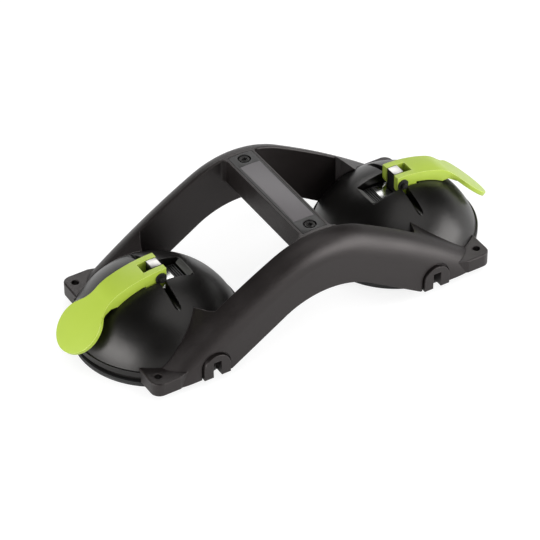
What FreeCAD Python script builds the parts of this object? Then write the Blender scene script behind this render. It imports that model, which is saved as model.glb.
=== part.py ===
import FreeCAD, Part
import math
import os
import Sketcher

# Two-cup suction lifter for floor tiles and slabs.
# Row frame: millimetres, origin on the ground under the middle of the grip, X along the
# lifter from the left cup to the right cup, Y across it towards the back, Z up.
# The two cup units are the same, so each of their pieces is modelled about its own cup
# axis with +X pointing outboard, and then placed at the left or the right cup.
# Every driving dimension is a named cell of the Sizes sheet, and each shape is bound to it.

os.makedirs("parts", exist_ok=True)
doc = FreeCAD.newDocument("suction_lifter")
sheet = doc.addObject("Spreadsheet::Sheet", "Sizes")
cell_row = 0


class Size:
    """A length or angle that knows its value and the expression that gives it."""

    def __init__(self, value, text):
        self.value = value
        self.text = text

    def join(self, sign, other, value):
        return Size(value, "(" + self.text + " " + sign + " " + as_size(other).text + ")")

    def __add__(self, other):
        return self.join("+", other, self.value + as_size(other).value)

    def __sub__(self, other):
        return self.join("-", other, self.value - as_size(other).value)

    def __mul__(self, other):
        return self.join("*", other, self.value * as_size(other).value)

    def __truediv__(self, other):
        return self.join("/", other, self.value / as_size(other).value)

    def __neg__(self):
        return Size(-self.value, "(0 - " + self.text + ")")


def as_size(number):
    return number if isinstance(number, Size) else Size(float(number), repr(float(number)))


def size(alias, value):
    """Writes one driving dimension to the sheet and returns it."""
    global cell_row
    cell_row += 1
    sheet.set("A" + str(cell_row), alias)
    sheet.set("B" + str(cell_row), str(value))
    sheet.setAlias("B" + str(cell_row), alias)
    return Size(float(value), "Sizes." + alias)


# ---------------------------------------------------------------- driving dimensions

ZERO = Size(0.0, "0")
QUARTER_TURN = Size(math.pi / 2, "(pi / 2)")
CAM_ARCS = 3
WIRE_SIDES = 8
WIRE_CORNER = math.sqrt(2 * math.pi / (WIRE_SIDES * math.sin(2 * math.pi / WIRE_SIDES)))
NEAR = 0.01

# where the cups and the grip stand
frame_half_length = size("frame_half_length", 139.7)
cup_inset = size("cup_inset", 39.2)
cup_place = frame_half_length - cup_inset
wall = size("wall", 3.0)
fit_gap = size("fit_gap", 0.2)

# rubber pad
pad_radius = size("pad_radius", 60.0)
pad_edge = size("pad_edge", 3.5)
pad_lip = size("pad_lip", 9.0)
pad_rise = size("pad_rise", 7.2)
pad_centre = size("pad_centre", 5.0)
pad_crown = size("pad_crown", 1.0)
pad_crown_radius = size("pad_crown_radius", 450.0)
pad_flank_radius = size("pad_flank_radius", 90.0)
soft_gap = size("soft_gap", 0.3)

# bell over each pad
bell_width = size("bell_width", 63.4)
bell_height = size("bell_height", 60.5)
bell_centre_drop = size("bell_centre_drop", 5.9)
bell_wall = size("bell_wall", 3.2)
crease_height = size("crease_height", 13.6)
rim_radius = size("rim_radius", 61.3)
rim_height = size("rim_height", 9.5)
skirt_radius = size("skirt_radius", 57.5)
skirt_wall = size("skirt_wall", 3.0)
rim_ledge = size("rim_ledge", 2.5)

# well in the top of the bell, where the lever works
well_width = size("well_width", 22.8)
well_floor = size("well_floor", 43.9)
well_foot = size("well_foot", 22.0)
well_step = size("well_step", 46.0)
well_run = size("well_run", 1.45)
well_reach = size("well_reach", 27.5)
well_back = size("well_back", 13.2)
well_wall = size("well_wall", 3.0)
pin_way = size("pin_way", 4.7)
pin_way_floor = size("pin_way_floor", 44.1)

# pull link, pin and pressure plate
pin_height = size("pin_height", 55.3)
pin_diameter = size("pin_diameter", 4.0)
pin_length = size("pin_length", 26.8)
running_gap = size("running_gap", 0.06)
link_along = size("link_along", 7.8)
link_across = size("link_across", 8.8)
link_top = size("link_top", 62.2)
link_foot_radius = size("link_foot_radius", 16.0)
link_foot = size("link_foot", 2.5)
slide_gap = size("slide_gap", 0.3)
plate_radius = size("plate_radius", 38.0)
plate_gauge = size("plate_gauge", 2.0)
plate_dish = size("plate_dish", 3.5)
plate_flat = size("plate_flat", 20.0)
ring_radius = size("ring_radius", 4.3)
ring_gauge = size("ring_gauge", 0.8)
ring_groove = size("ring_groove", 0.5)
rivet_radius = size("rivet_radius", 1.8)
rivet_head_radius = size("rivet_head_radius", 2.9)
rivet_head_height = size("rivet_head_height", 1.4)
rivet_circle = size("rivet_circle", 12.6)
bearing_plate = size("bearing_plate", 1.5)
bearing_inboard = size("bearing_inboard", 14.6)
bearing_outboard = size("bearing_outboard", 11.5)

# return spring round the link
spring_radius = size("spring_radius", 8.6)
spring_wire = size("spring_wire", 1.5)
spring_turns = size("spring_turns", 5)
spring_seat = size("spring_seat", 0.1)

# lever
lever_width = size("lever_width", 20.0)
lever_end = size("lever_end", 4.5)
lever_top = size("lever_top", 62.4)
lever_arch = size("lever_arch", 104.0)
lever_arch_angle = size("lever_arch_angle", 20.0)
lever_bend = size("lever_bend", 31.0)
lever_skin = size("lever_skin", 3.0)
lever_skirt = size("lever_skirt", 2.6)
lever_slot = size("lever_slot", 10.3)
lever_window = size("lever_window", 10.8)
lever_clear = size("lever_clear", 0.5)
cheek_foot = size("cheek_foot", 6.0)
cheek_reach = size("cheek_reach", 12.0)
cheek_drop = size("cheek_drop", 4.2)
lever_swing = size("lever_swing", 90.0)
disc_radius = size("disc_radius", 20.0)
disc_reach = size("disc_reach", 26.5)
disc_tilt = size("disc_tilt", 43.0)
tip_margin = size("tip_margin", 4.0)
knuckle_reach = size("knuckle_reach", 8.8)
knuckle_depth = size("knuckle_depth", 4.8)
neck_start = size("neck_start", 38.0)
neck_end = size("neck_end", 51.5)
neck_flare = size("neck_flare", 5.6)
neck_round = size("neck_round", 15.0)
skirt_drop = size("skirt_drop", 8.6)
cam_gap = size("cam_gap", 0.1)

# frame
frame_half_width = size("frame_half_width", 68.6)
frame_bottom = size("frame_bottom", 5.8)
rail_width = size("rail_width", 16.6)
rail_inner = frame_half_width - rail_width
rail_round = size("rail_round", 18.0)
rail_chamfer = size("rail_chamfer", 1.2)
arch_top = size("arch_top", 84.3)
arch_radius = size("arch_radius", 76.0)
arch_angle = size("arch_angle", 28.0)
flank_radius = size("flank_radius", 600.0)
flank_foot = size("flank_foot", 160.0)
flank_drop = size("flank_drop", 12.2)
lug_top = size("lug_top", 16.4)
lug_corner = size("lug_corner", 7.0)
lug_inner = size("lug_inner", 40.0)
lug_root = size("lug_root", 27.7)
lug_root_inset = size("lug_root_inset", 2.6)
lug_straight = size("lug_straight", 19.7)
lug_start = frame_half_length - lug_root
lug_start_width = frame_half_width - lug_root_inset
lug_full = frame_half_length - lug_straight
lug_hole_end = size("lug_hole_end", 7.3)
lug_hole_side = size("lug_hole_side", 9.1)
lug_hole = size("lug_hole", 5.6)
lug_boss = size("lug_boss", 11.0)
lug_chamfer = size("lug_chamfer", 0.8)
under_arch_top = size("under_arch_top", 43.2)
under_arch_radius = size("under_arch_radius", 66.0)
under_arch_angle = size("under_arch_angle", 34.0)
under_arch_reach = size("under_arch_reach", 22.0)
under_arch_foot = cup_place - under_arch_reach
shelf_rail_reach = size("shelf_rail_reach", 19.0)
shelf_bend_reach = size("shelf_bend_reach", 15.7)
shelf_bell_reach = size("shelf_bell_reach", 10.0)
shelf_end_rail = cup_place - shelf_rail_reach
shelf_end_bend = cup_place - shelf_bend_reach
shelf_end_bell = cup_place - shelf_bell_reach
shelf_bend_inset = size("shelf_bend_inset", 3.2)
shelf_end_bend_width = rail_inner - shelf_bend_inset
shelf_bell_inset = size("shelf_bell_inset", 17.5)
shelf_end_depth = rail_inner - shelf_bell_inset
shelf_end_wall = size("shelf_end_wall", 3.3)
rail_stop = size("rail_stop", 11.7)
rail_end = frame_half_length - rail_stop
top_skin = size("top_skin", 3.6)

# side sockets
socket_reach = size("socket_reach", 9.2)
socket_place = cup_place - socket_reach
socket_radius = size("socket_radius", 10.5)
socket_head = size("socket_head", 13.5)
socket_wall = size("socket_wall", 2.2)
socket_stand = size("socket_stand", 1.9)
socket_slot = size("socket_slot", 6.5)
socket_top = size("socket_top", 18.6)
socket_depth = size("socket_depth", 9.0)
socket_groove = size("socket_groove", 1.0)
socket_groove_depth = size("socket_groove_depth", 1.5)

# cross grip, its cover, label and screws
grip_width = size("grip_width", 23.3)
grip_depth = size("grip_depth", 22.3)
grip_edge = size("grip_edge", 2.5)
grip_wall = size("grip_wall", 2.6)
grip_fillet = size("grip_fillet", 4.0)
cover_margin = size("cover_margin", 1.7)
cover_gauge = size("cover_gauge", 3.2)
cover_inset = size("cover_inset", 1.5)
cover_length = (rail_inner - cover_inset) * 2
screw_inset = size("screw_inset", 6.5)
screw_spacing = cover_length - screw_inset * 2
screw_recess = size("screw_recess", 9.6)
label_inset = size("label_inset", 2.9)
label_length = screw_spacing - screw_recess - label_inset * 2
label_side = size("label_side", 3.55)
label_width = grip_width - label_side * 2
label_gauge = size("label_gauge", 0.6)
screw_recess_depth = size("screw_recess_depth", 2.0)
screw_head = size("screw_head", 7.4)
screw_head_height = size("screw_head_height", 1.6)
screw_shank = size("screw_shank", 4.0)
screw_length = size("screw_length", 12.0)
screw_socket = size("screw_socket", 2.6)
insert_radius = size("insert_radius", 3.0)
insert_length = size("insert_length", 8.0)
boss_radius = size("boss_radius", 5.2)
insert_bore_depth = size("insert_bore_depth", 12.8)

# screws that hold the bells up into the frame
bell_screw_circle = size("bell_screw_circle", 63.2)
bell_screw_angle = size("bell_screw_angle", 72.5)
bell_ear = size("bell_ear", 4.6)
bell_ear_bottom = size("bell_ear_bottom", 7.2)
bell_ear_top = size("bell_ear_top", 11.0)
bell_screw = size("bell_screw", 3.0)
bell_screw_head = size("bell_screw_head", 5.6)
bell_screw_head_height = size("bell_screw_head_height", 2.0)
bell_screw_top = size("bell_screw_top", 14.4)
rib_inner = size("rib_inner", 56.0)
rib_outer = frame_half_width - wall / 2
rib_top = size("rib_top", 16.0)

doc.recompute()

# ---------------------------------------------------------------- modelling helpers

X_AXIS = FreeCAD.Vector(1, 0, 0)
Y_AXIS = FreeCAD.Vector(0, 1, 0)
Z_AXIS = FreeCAD.Vector(0, 0, 1)
PLANES = {
    "XY": FreeCAD.Rotation(),
    "XZ": FreeCAD.Rotation(X_AXIS, 90),
    "YZ": FreeCAD.Rotation(FreeCAD.Vector(1, 1, 1), 120),
}


def bind(item, **sizes):
    """Ties properties of a document object to the sheet."""
    for name, value in sizes.items():
        item.setExpression(name, as_size(value).text)


def place(item, x=None, y=None, z=None):
    """Ties the position of a document object to the sheet."""
    for axis, value in (("x", x), ("y", y), ("z", z)):
        if value is not None:
            item.setExpression("Placement.Base." + axis, as_size(value).text)


def add(kind, name):
    return doc.addObject(kind, name)


def box(name, x_from, x_to, y_from, y_to, z_from, z_to):
    item = add("Part::Box", name)
    bind(item, Length=as_size(x_to) - x_from, Width=as_size(y_to) - y_from,
         Height=as_size(z_to) - z_from)
    place(item, x_from, y_from, z_from)
    return item


def cylinder(name, radius, height, x=ZERO, y=ZERO, z=ZERO, axis=Z_AXIS):
    item = add("Part::Cylinder", name)
    item.Placement.Rotation = FreeCAD.Rotation(Z_AXIS, axis)
    bind(item, Radius=radius, Height=height)
    place(item, x, y, z)
    return item


def fuse(name, items):
    item = add("Part::MultiFuse", name)
    item.Shapes = items
    return item


def cut(name, base, tools):
    item = add("Part::Cut", name)
    item.Base = base
    item.Tool = tools[0] if len(tools) == 1 else fuse(name + "_tools", tools)
    return item


def common(name, items):
    item = add("Part::MultiCommon", name)
    item.Shapes = items
    return item


def corner(x, y):
    return (as_size(x), as_size(y))


def bow(x, y, radius, side):
    """A corner that is reached by an arc; side +1 keeps its centre left of the travel."""
    return (as_size(x), as_size(y), as_size(radius), side)


def arc_middle(start, end, radius, side):
    dx = end[0] - start[0]
    dy = end[1] - start[1]
    chord = math.hypot(dx, dy)
    sagitta = radius - math.sqrt(radius * radius - chord * chord / 4)
    return ((start[0] + end[0]) / 2 + side * dy / chord * sagitta,
            (start[1] + end[1]) / 2 - side * dx / chord * sagitta)


def outline(name, plane, path, lift=ZERO):
    """A closed sketch whose corners and arc radii are tied to the sheet."""
    sketch = add("Sketcher::SketchObject", name)
    sketch.Placement.Rotation = PLANES[plane]
    if plane == "XZ":
        place(sketch, y=lift)
    if plane == "XY":
        place(sketch, z=lift)
    ends = []
    count = len(path)
    for index in range(count):
        here = path[index]
        there = path[(index + 1) % count]
        start = FreeCAD.Vector(here[0].value, here[1].value, 0)
        end = FreeCAD.Vector(there[0].value, there[1].value, 0)
        if len(there) > 2:
            middle = arc_middle((start.x, start.y), (end.x, end.y), there[2].value, there[3])
            edge = Part.Arc(start, FreeCAD.Vector(middle[0], middle[1], 0), end)
            ends.append((1, 2) if there[3] > 0 else (2, 1))
        else:
            edge = Part.LineSegment(start, end)
            ends.append((1, 2))
        sketch.addGeometry(edge, False)
    for index in range(count):
        following = (index + 1) % count
        sketch.addConstraint(Sketcher.Constraint(
            "Coincident", index, ends[index][1], following, ends[following][0]))
    for index in range(count):
        for kind, value in (("DistanceX", path[index][0]), ("DistanceY", path[index][1])):
            number = sketch.addConstraint(Sketcher.Constraint(
                kind, -1, 1, index, ends[index][0], value.value))
            sketch.setExpression("Constraints[" + str(number) + "]", value.text)
        there = path[(index + 1) % count]
        if len(there) > 2:
            number = sketch.addConstraint(Sketcher.Constraint("Radius", index, there[2].value))
            sketch.setExpression("Constraints[" + str(number) + "]", there[2].text)
    return sketch


def prism(name, plane, path, length, start=ZERO, centred=False):
    """An outline pushed along its plane's normal: +Y from an XZ outline, +Z from XY."""
    item = add("Part::Extrusion", name)
    item.Base = outline(name + "_outline", plane, path, start)
    item.DirMode = "Custom"
    item.Dir = {"XZ": Y_AXIS, "XY": Z_AXIS, "YZ": X_AXIS}[plane]
    item.Solid = True
    item.Symmetric = centred
    bind(item, LengthFwd=length)
    return item


def turned(name, path):
    """An outline of radius and height turned round the Z axis."""
    item = add("Part::Revolution", name)
    item.Source = outline(name + "_outline", "XZ", path)
    item.Axis = Z_AXIS
    item.Angle = 360
    item.Solid = True
    return item


def mirrored(name, source, normal):
    item = add("Part::Mirroring", name)
    item.Source = source
    item.Normal = normal
    return item


def ellipsoid(name, width, height, centre_z):
    item = add("Part::Ellipsoid", name)
    bind(item, Radius1=height, Radius2=width, Radius3=width)
    place(item, z=centre_z)
    return item


def sine(angle):
    return Size(math.sin(math.radians(angle.value)), "sin(" + angle.text + ")")


def cosine(angle):
    return Size(math.cos(math.radians(angle.value)), "cos(" + angle.text + ")")


nodes = []


def node(item, name):
    """Names a finished sub-part; its name is also its file's name."""
    item.Label = name
    nodes.append(item)
    return item


def cup_node(item, side, name):
    """Stands a finished piece of a cup unit at its cup; the left one is turned round."""
    outboard = 1 if side == "right" else -1
    item.Placement.Rotation = FreeCAD.Rotation(Z_AXIS, 0 if outboard > 0 else 180)
    place(item, x=cup_place * outboard)
    return node(item, side + "_" + name)


# ---------------------------------------------------------------- bell

def bell_outer(name, grow):
    """The outside of a bell, grown by a gap: its dome over its upright rim band."""
    dome = ellipsoid(name + "_dome", bell_width + grow, bell_height + grow, -bell_centre_drop)
    above = box(name + "_above", -(rim_radius * 2), rim_radius * 2, -(rim_radius * 2),
                rim_radius * 2, crease_height, bell_height * 2)
    cap = common(name + "_cap", [dome, above])
    band = cylinder(name + "_band", rim_radius + grow, crease_height - rim_height, z=rim_height)
    return fuse(name, [cap, band])


def make_bell(side):
    outer = bell_outer(side + "_bell_outer", ZERO)
    inner_dome = ellipsoid(side + "_bell_hollow_dome", bell_width - bell_wall,
                           bell_height - bell_wall, -bell_centre_drop)
    inner_above = box(side + "_bell_hollow_above", -(rim_radius * 2), rim_radius * 2,
                      -(rim_radius * 2), rim_radius * 2, rim_height + rim_ledge, bell_height * 2)
    inner_cap = common(side + "_bell_hollow_cap", [inner_dome, inner_above])
    throat = cylinder(side + "_bell_throat", skirt_radius - skirt_wall, rim_height * 2)
    shell = cut(side + "_bell_shell", outer, [inner_cap, throat])
    skirt_bottom = pad_edge + soft_gap
    skirt_solid = cylinder(side + "_bell_skirt_solid", skirt_radius,
                           rim_height + rim_ledge - skirt_bottom, z=skirt_bottom)
    skirt = cut(side + "_bell_skirt", skirt_solid, [
        cylinder(side + "_bell_skirt_hole", skirt_radius - skirt_wall, rim_height * 3)])

    tub_outline = [
        corner(-(well_reach + well_wall), bell_height),
        corner(-(well_reach + well_wall), well_floor - well_wall),
        corner(well_back + well_wall, well_floor - well_wall),
        corner(well_back + well_wall, bell_height)]
    tub_block = prism(side + "_bell_tub_block", "XZ", tub_outline,
                      well_width + well_wall * 2, centred=True)
    trough = box(side + "_bell_trough", -(pin_way / 2 + well_wall), pin_way / 2 + well_wall,
                 -bell_width, bell_width, pin_way_floor - well_wall, bell_height)
    tub = common(side + "_bell_tub", [
        fuse(side + "_bell_tub_blocks", [tub_block, trough]),
        ellipsoid(side + "_bell_tub_dome", bell_width, bell_height, -bell_centre_drop)])

    well_outline = [
        corner(-well_foot, well_floor), corner(well_back, well_floor),
        corner(well_back, bell_height),
        corner(-(well_foot + (bell_height - well_step) * well_run), bell_height),
        corner(-well_foot, well_step)]
    well = prism(side + "_bell_well", "XZ", well_outline, well_width, centred=True)

    guide = box(side + "_bell_guide", -(link_along / 2 + slide_gap), link_along / 2 + slide_gap,
                -(link_across / 2 + slide_gap), link_across / 2 + slide_gap,
                ZERO, bell_height)

    half_way = pin_way / 2
    way_block = box(side + "_bell_pin_way_block", -half_way, half_way, -bell_width, bell_width,
                    pin_way_floor + half_way, bell_height)
    way_round = cylinder(side + "_bell_pin_way_round", half_way, bell_width * 2,
                         y=bell_width, z=pin_way_floor + half_way, axis=-Y_AXIS)
    solids = [shell, skirt, tub]
    holes = [well, guide, way_block, way_round]
    for number, (x, y) in enumerate(bell_screw_places()):
        tag = side + "_bell_ear_" + str(number)
        solids.append(cylinder(tag, bell_ear, bell_ear_top - bell_ear_bottom, x=x, y=y,
                               z=bell_ear_bottom))
        holes.append(cylinder(tag + "_bore", bell_screw / 2 + fit_gap, bell_ear_top, x=x, y=y))
        holes.append(cylinder(tag + "_sink", bell_screw_head / 2 + fit_gap,
                              bell_ear_bottom + bell_screw_head_height + fit_gap, x=x, y=y))
    bell = cut(side + "_bell_cut", fuse(side + "_bell_body", solids), holes)
    return cup_node(bell, side, "bell")


def bell_screw_places():
    """Where the four bell screws stand, about the cup axis."""
    across = bell_screw_circle * sine(bell_screw_angle)
    along = bell_screw_circle * cosine(bell_screw_angle)
    return [(along, across), (-along, across), (-along, -across), (along, -across)]


# ---------------------------------------------------------------- cup pieces

def make_pad(side):
    """The rubber disc: a flat lip at the edge and a centre drawn up off the ground."""
    half_lip = pad_radius - pad_lip
    shoulder = pad_radius / 2
    top = pad_rise + pad_centre
    path = [
        corner(ZERO, pad_rise), bow(shoulder, pad_rise - pad_crown, pad_crown_radius, -1),
        bow(half_lip, ZERO, pad_flank_radius, -1), corner(pad_radius, ZERO),
        corner(pad_radius, pad_edge), corner(half_lip, pad_edge),
        bow(plate_radius, top - plate_dish, pad_radius, 1), corner(plate_flat, top),
        corner(ZERO, top)]
    return cup_node(turned(side + "_pad_body", path), side, "suction_pad")


def make_pressure_plate(side):
    """The dished steel disc over the pad; rivets hold the link's foot to it."""
    base = pad_rise + pad_centre + soft_gap
    path = [
        corner(ZERO, base), corner(plate_flat, base),
        corner(plate_radius, base - plate_dish),
        corner(plate_radius, base - plate_dish + plate_gauge),
        corner(plate_flat, base + plate_gauge), corner(ZERO, base + plate_gauge)]
    disc = turned(side + "_plate_body", path)
    bores = [cylinder(side + "_plate_bore_" + str(number), rivet_radius, base * 2, x=x, y=y)
             for number, (x, y) in enumerate(rivet_places())]
    return cup_node(cut(side + "_plate_cut", disc, bores), side, "pressure_plate")


def rivet_places():
    return [(ZERO, rivet_circle), (ZERO, -rivet_circle)]


def make_link(side):
    """The steel bar that pulls the pad up, on a round foot."""
    foot_bottom = pad_rise + pad_centre + soft_gap + plate_gauge
    bar = box(side + "_link_bar", -(link_along / 2), link_along / 2, -(link_across / 2),
              link_across / 2, foot_bottom, link_top)
    foot = cylinder(side + "_link_foot", link_foot_radius, link_foot, z=foot_bottom)
    bores = [cylinder(side + "_link_bore_" + str(number), rivet_radius, foot_bottom * 2, x=x, y=y)
             for number, (x, y) in enumerate(rivet_places())]
    bores.append(cylinder(side + "_link_pin_bore", pin_diameter / 2, link_across * 2,
                          y=link_across, z=pin_height, axis=-Y_AXIS))
    body = cut(side + "_link_cut", fuse(side + "_link_body", [bar, foot]), bores)
    return cup_node(body, side, "pull_link")


def make_rivets(side):
    base = pad_rise + pad_centre + soft_gap
    top = base + plate_gauge + link_foot
    solids = []
    for number, (x, y) in enumerate(rivet_places()):
        tag = side + "_rivet_" + str(number)
        shank = cylinder(tag + "_shank", rivet_radius, top - base, x=x, y=y, z=base)
        head = cylinder(tag + "_head", rivet_head_radius, rivet_head_height, x=x, y=y, z=top)
        solids.append(fuse(tag, [shank, head]))
    group = add("Part::Compound", side + "_rivet_group")
    group.Links = solids
    return cup_node(group, side, "link_rivets")


def make_pin(side):
    """The pivot pin with a groove for a retaining ring near each end."""
    half = pin_length / 2
    bar = cylinder(side + "_pin_bar", pin_diameter / 2, pin_length, y=half, z=pin_height,
                   axis=-Y_AXIS)
    grooves = []
    for tag, face in (("back", 1), ("front", -1)):
        start = ring_place() if face > 0 else -ring_place() - ring_gauge
        solid = cylinder(side + "_pin_groove_" + tag, pin_diameter, ring_gauge,
                         y=start + ring_gauge, z=pin_height, axis=-Y_AXIS)
        core = cylinder(side + "_pin_core_" + tag, pin_diameter / 2 - ring_groove, ring_gauge,
                        y=start + ring_gauge, z=pin_height, axis=-Y_AXIS)
        grooves.append(cut(side + "_pin_ring_seat_" + tag, solid, [core]))
    return cup_node(cut(side + "_pin_cut", bar, grooves), side, "pivot_pin")


def ring_place():
    """Where a retaining ring starts, just outside the lever's cheek."""
    return lever_width / 2 + running_gap


def make_rings(side):
    solids = []
    for tag, face in (("back", 1), ("front", -1)):
        start = ring_place() if face > 0 else -ring_place() - ring_gauge
        solid = cylinder(side + "_ring_disc_" + tag, ring_radius, ring_gauge,
                         y=start + ring_gauge, z=pin_height, axis=-Y_AXIS)
        hole = cylinder(side + "_ring_hole_" + tag, pin_diameter / 2 - ring_groove, ring_gauge,
                        y=start + ring_gauge, z=pin_height, axis=-Y_AXIS)
        solids.append(cut(side + "_ring_" + tag, solid, [hole]))
    group = add("Part::Compound", side + "_ring_group")
    group.Links = solids
    return cup_node(group, side, "pin_rings")


def make_bearing_plate(side):
    """The bright steel strip on the floor of the well, which the lever's cams slide on."""
    half_across = lever_width / 2
    strip = box(side + "_bearing_strip", -bearing_inboard, bearing_outboard, -half_across,
                half_across, well_floor, well_floor + bearing_plate)
    hole = box(side + "_bearing_hole", -(link_along / 2 + slide_gap), link_along / 2 + slide_gap,
               -(link_across / 2 + slide_gap), link_across / 2 + slide_gap, ZERO, bell_height)
    return cup_node(cut(side + "_bearing_cut", strip, [hole]), side, "bearing_plate")


def make_spring(side):
    """The return spring round the link, from its foot up to the floor of the well; its
    wire is eight-sided with the area of a round one."""
    foot = pad_rise + pad_centre + soft_gap + plate_gauge + link_foot
    bottom = foot + spring_seat + spring_wire / 2
    height = well_floor - well_wall - spring_seat - spring_wire / 2 - bottom
    line = add("Part::Helix", side + "_spring_line")
    bind(line, Pitch=height / spring_turns, Height=height, Radius=spring_radius)
    place(line, z=bottom)
    wire = add("Part::RegularPolygon", side + "_spring_wire")
    wire.Placement.Rotation = PLANES["XZ"]
    wire.Polygon = WIRE_SIDES
    bind(wire, Circumradius=spring_wire / 2 * WIRE_CORNER)
    place(wire, x=spring_radius, z=bottom)
    coil = add("Part::Sweep", side + "_spring_coil")
    coil.Sections = [wire]
    coil.Spine = (line, [])
    coil.Solid = True
    coil.Frenet = True
    return cup_node(coil, side, "return_spring")


# ---------------------------------------------------------------- lever

def cam_reach(share):
    """Height of the pin over the bearing plate after a share of the lever's swing."""
    locked = pin_height - well_floor - bearing_plate - cam_gap
    return locked - (locked - lever_end) * share


def cam_point(share):
    """Where the cam meets the bearing plate after a share of the swing. The pin sinks in
    step with the swing, so the cam is the involute of a circle round the pin."""
    turn = lever_swing * share
    fall = (cam_reach(0) - cam_reach(1)) / QUARTER_TURN
    return corner(fall * cosine(turn) - cam_reach(share) * sine(turn),
                  pin_height - cam_reach(share) * cosine(turn) - fall * sine(turn))


def make_cam(name):
    """The end of the lever round the pin: three arcs make the cam, from the locked flat
    to the lever's end face."""
    cheek_top = lever_top - lever_skin / 2
    path = [cam_point(0)]
    for step in range(CAM_ARCS):
        end = cam_point((step + 1) / CAM_ARCS)
        path.append(bow(end[0], end[1], cam_reach((step + 0.5) / CAM_ARCS), -1))
    path.append(corner(-lever_end, cheek_top))
    path.append(corner(cheek_reach, cheek_top))
    path.append(corner(cheek_reach, pin_height - cheek_drop))
    path.append(corner(cheek_foot, cam_point(0)[1]))
    return prism(name, "XZ", path, lever_width, centred=True)


def lever_line(drop):
    """Corners of the lever's top line, or of its underside when it is dropped by a skin."""
    tilt = disc_tilt
    start = (-lever_end, lever_top - drop)
    arch = lever_arch - drop
    bend = lever_bend - drop
    arch_end = (start[0] + arch * sine(lever_arch_angle),
                start[1] - arch * (as_size(1) - cosine(lever_arch_angle)))
    bend_end = (arch_end[0] + bend * (sine(tilt) - sine(lever_arch_angle)),
                arch_end[1] + bend * (cosine(tilt) - cosine(lever_arch_angle)))
    reach = disc_reach + disc_radius + tip_margin
    tip = (bend_end[0] + reach * cosine(tilt), bend_end[1] - reach * sine(tilt))
    return start, arch_end, bend_end, tip, arch, bend


def make_lever(side):
    top = lever_line(ZERO)
    under = lever_line(lever_skin)
    centre = (top[2][0] + disc_reach * cosine(disc_tilt),
              top[2][1] - disc_reach * sine(disc_tilt))
    sheet_path = [
        corner(*top[0]), bow(top[1][0], top[1][1], top[4], -1),
        bow(top[2][0], top[2][1], top[5], -1), corner(*top[3]), corner(*under[3]),
        corner(*under[2]), bow(under[1][0], under[1][1], under[5], 1),
        bow(under[0][0], under[0][1], under[4], 1)]
    skin = prism(side + "_lever_skin", "XZ", sheet_path, disc_radius * 3, centred=True)

    disc = cylinder(side + "_lever_disc", disc_radius, lever_bend, x=centre[0], z=centre[1])
    disc.Placement.Rotation = FreeCAD.Rotation(Y_AXIS, disc_tilt.value)
    drop = add("Part::Cylinder", side + "_lever_disc_down")
    drop.Placement.Rotation = FreeCAD.Rotation(Y_AXIS, disc_tilt.value + 180)
    bind(drop, Radius=disc_radius, Height=lever_bend)
    place(drop, x=centre[0], z=centre[1])
    half = lever_width / 2
    wide = half + neck_flare
    plan_path = [
        corner(-lever_end, -half), corner(neck_start, -half),
        bow(neck_end, -wide, neck_round, -1), corner(centre[0], -wide),
        corner(centre[0], wide), corner(neck_end, wide),
        bow(neck_start, half, neck_round, -1), corner(-lever_end, half)]
    plan = prism(side + "_lever_plan", "XY", plan_path, lever_top * 2)
    blade = common(side + "_lever_blade", [
        skin, fuse(side + "_lever_footprint", [disc, drop, plan])])

    skirt_foot = top[1][1] - skirt_drop
    bar_path = [
        corner(*top[0]), bow(top[1][0], top[1][1], top[4], -1),
        bow(top[2][0], top[2][1], top[5], -1),
        corner(top[2][0] + knuckle_reach * cosine(disc_tilt),
               top[2][1] - knuckle_reach * sine(disc_tilt)),
        corner(top[2][0] + knuckle_reach * cosine(disc_tilt),
               top[2][1] - knuckle_reach * sine(disc_tilt) - knuckle_depth),
        corner(top[1][0] + lever_end * 2, skirt_foot - lever_skin),
        corner(top[1][0] + lever_end, skirt_foot - lever_skin),
        corner(top[1][0], well_floor - well_wall),
        corner(cheek_foot, well_floor - well_wall), corner(-lever_end, pin_height)]
    bar_block = prism(side + "_lever_bar_block", "XZ", bar_path, lever_width, centred=True)
    bar = cut(side + "_lever_bar", bar_block, [
        ellipsoid(side + "_lever_clearance", bell_width + lever_clear,
                  bell_height + lever_clear, -bell_centre_drop)])

    hollow_path = [
        corner(*under[0]), bow(under[1][0], under[1][1], under[4], -1),
        bow(under[2][0], under[2][1], under[5], -1),
        corner(*under[3]), corner(under[3][0], ZERO), corner(-lever_end, ZERO)]
    hollow_block = prism(side + "_lever_hollow_block", "XZ", hollow_path,
                         lever_width - lever_skirt * 2, centred=True)
    hollow_stop = box(side + "_lever_hollow_stop", lever_window + lever_skin, lever_bend * 3,
                      -lever_width, lever_width, ZERO, lever_top)
    hollow = common(side + "_lever_hollow", [hollow_block, hollow_stop])
    arm = cut(side + "_lever_arm", fuse(side + "_lever_arm_parts", [
        bar, make_cam(side + "_lever_cam")]), [hollow])
    slot = box(side + "_lever_slot", -(lever_end * 3), lever_window, -(lever_slot / 2),
               lever_slot / 2, ZERO, lever_top * 2)
    bore = cylinder(side + "_lever_bore", pin_diameter / 2 + running_gap, lever_width * 2,
                    y=lever_width, z=pin_height, axis=-Y_AXIS)
    lever = cut(side + "_lever_cut", fuse(side + "_lever_body", [blade, arm]), [slot, bore])
    return cup_node(lever, side, "lever")


# ---------------------------------------------------------------- frame

def top_path(drop):
    """The arched top line of the frame, seen from the side, lowered by a drop."""
    arch_along = arch_radius * sine(arch_angle)
    arch_height = arch_top - arch_radius * (as_size(1) - cosine(arch_angle)) - drop
    foot = -flank_drop - drop
    return [
        corner(-flank_foot, foot), bow(-arch_along, arch_height, flank_radius, -1),
        bow(arch_along, arch_height, arch_radius, -1),
        bow(flank_foot, foot, flank_radius, -1)]


def arched_block(name, inner, outer, drop):
    return prism(name, "XZ", top_path(drop), outer - inner, start=inner)


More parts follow.
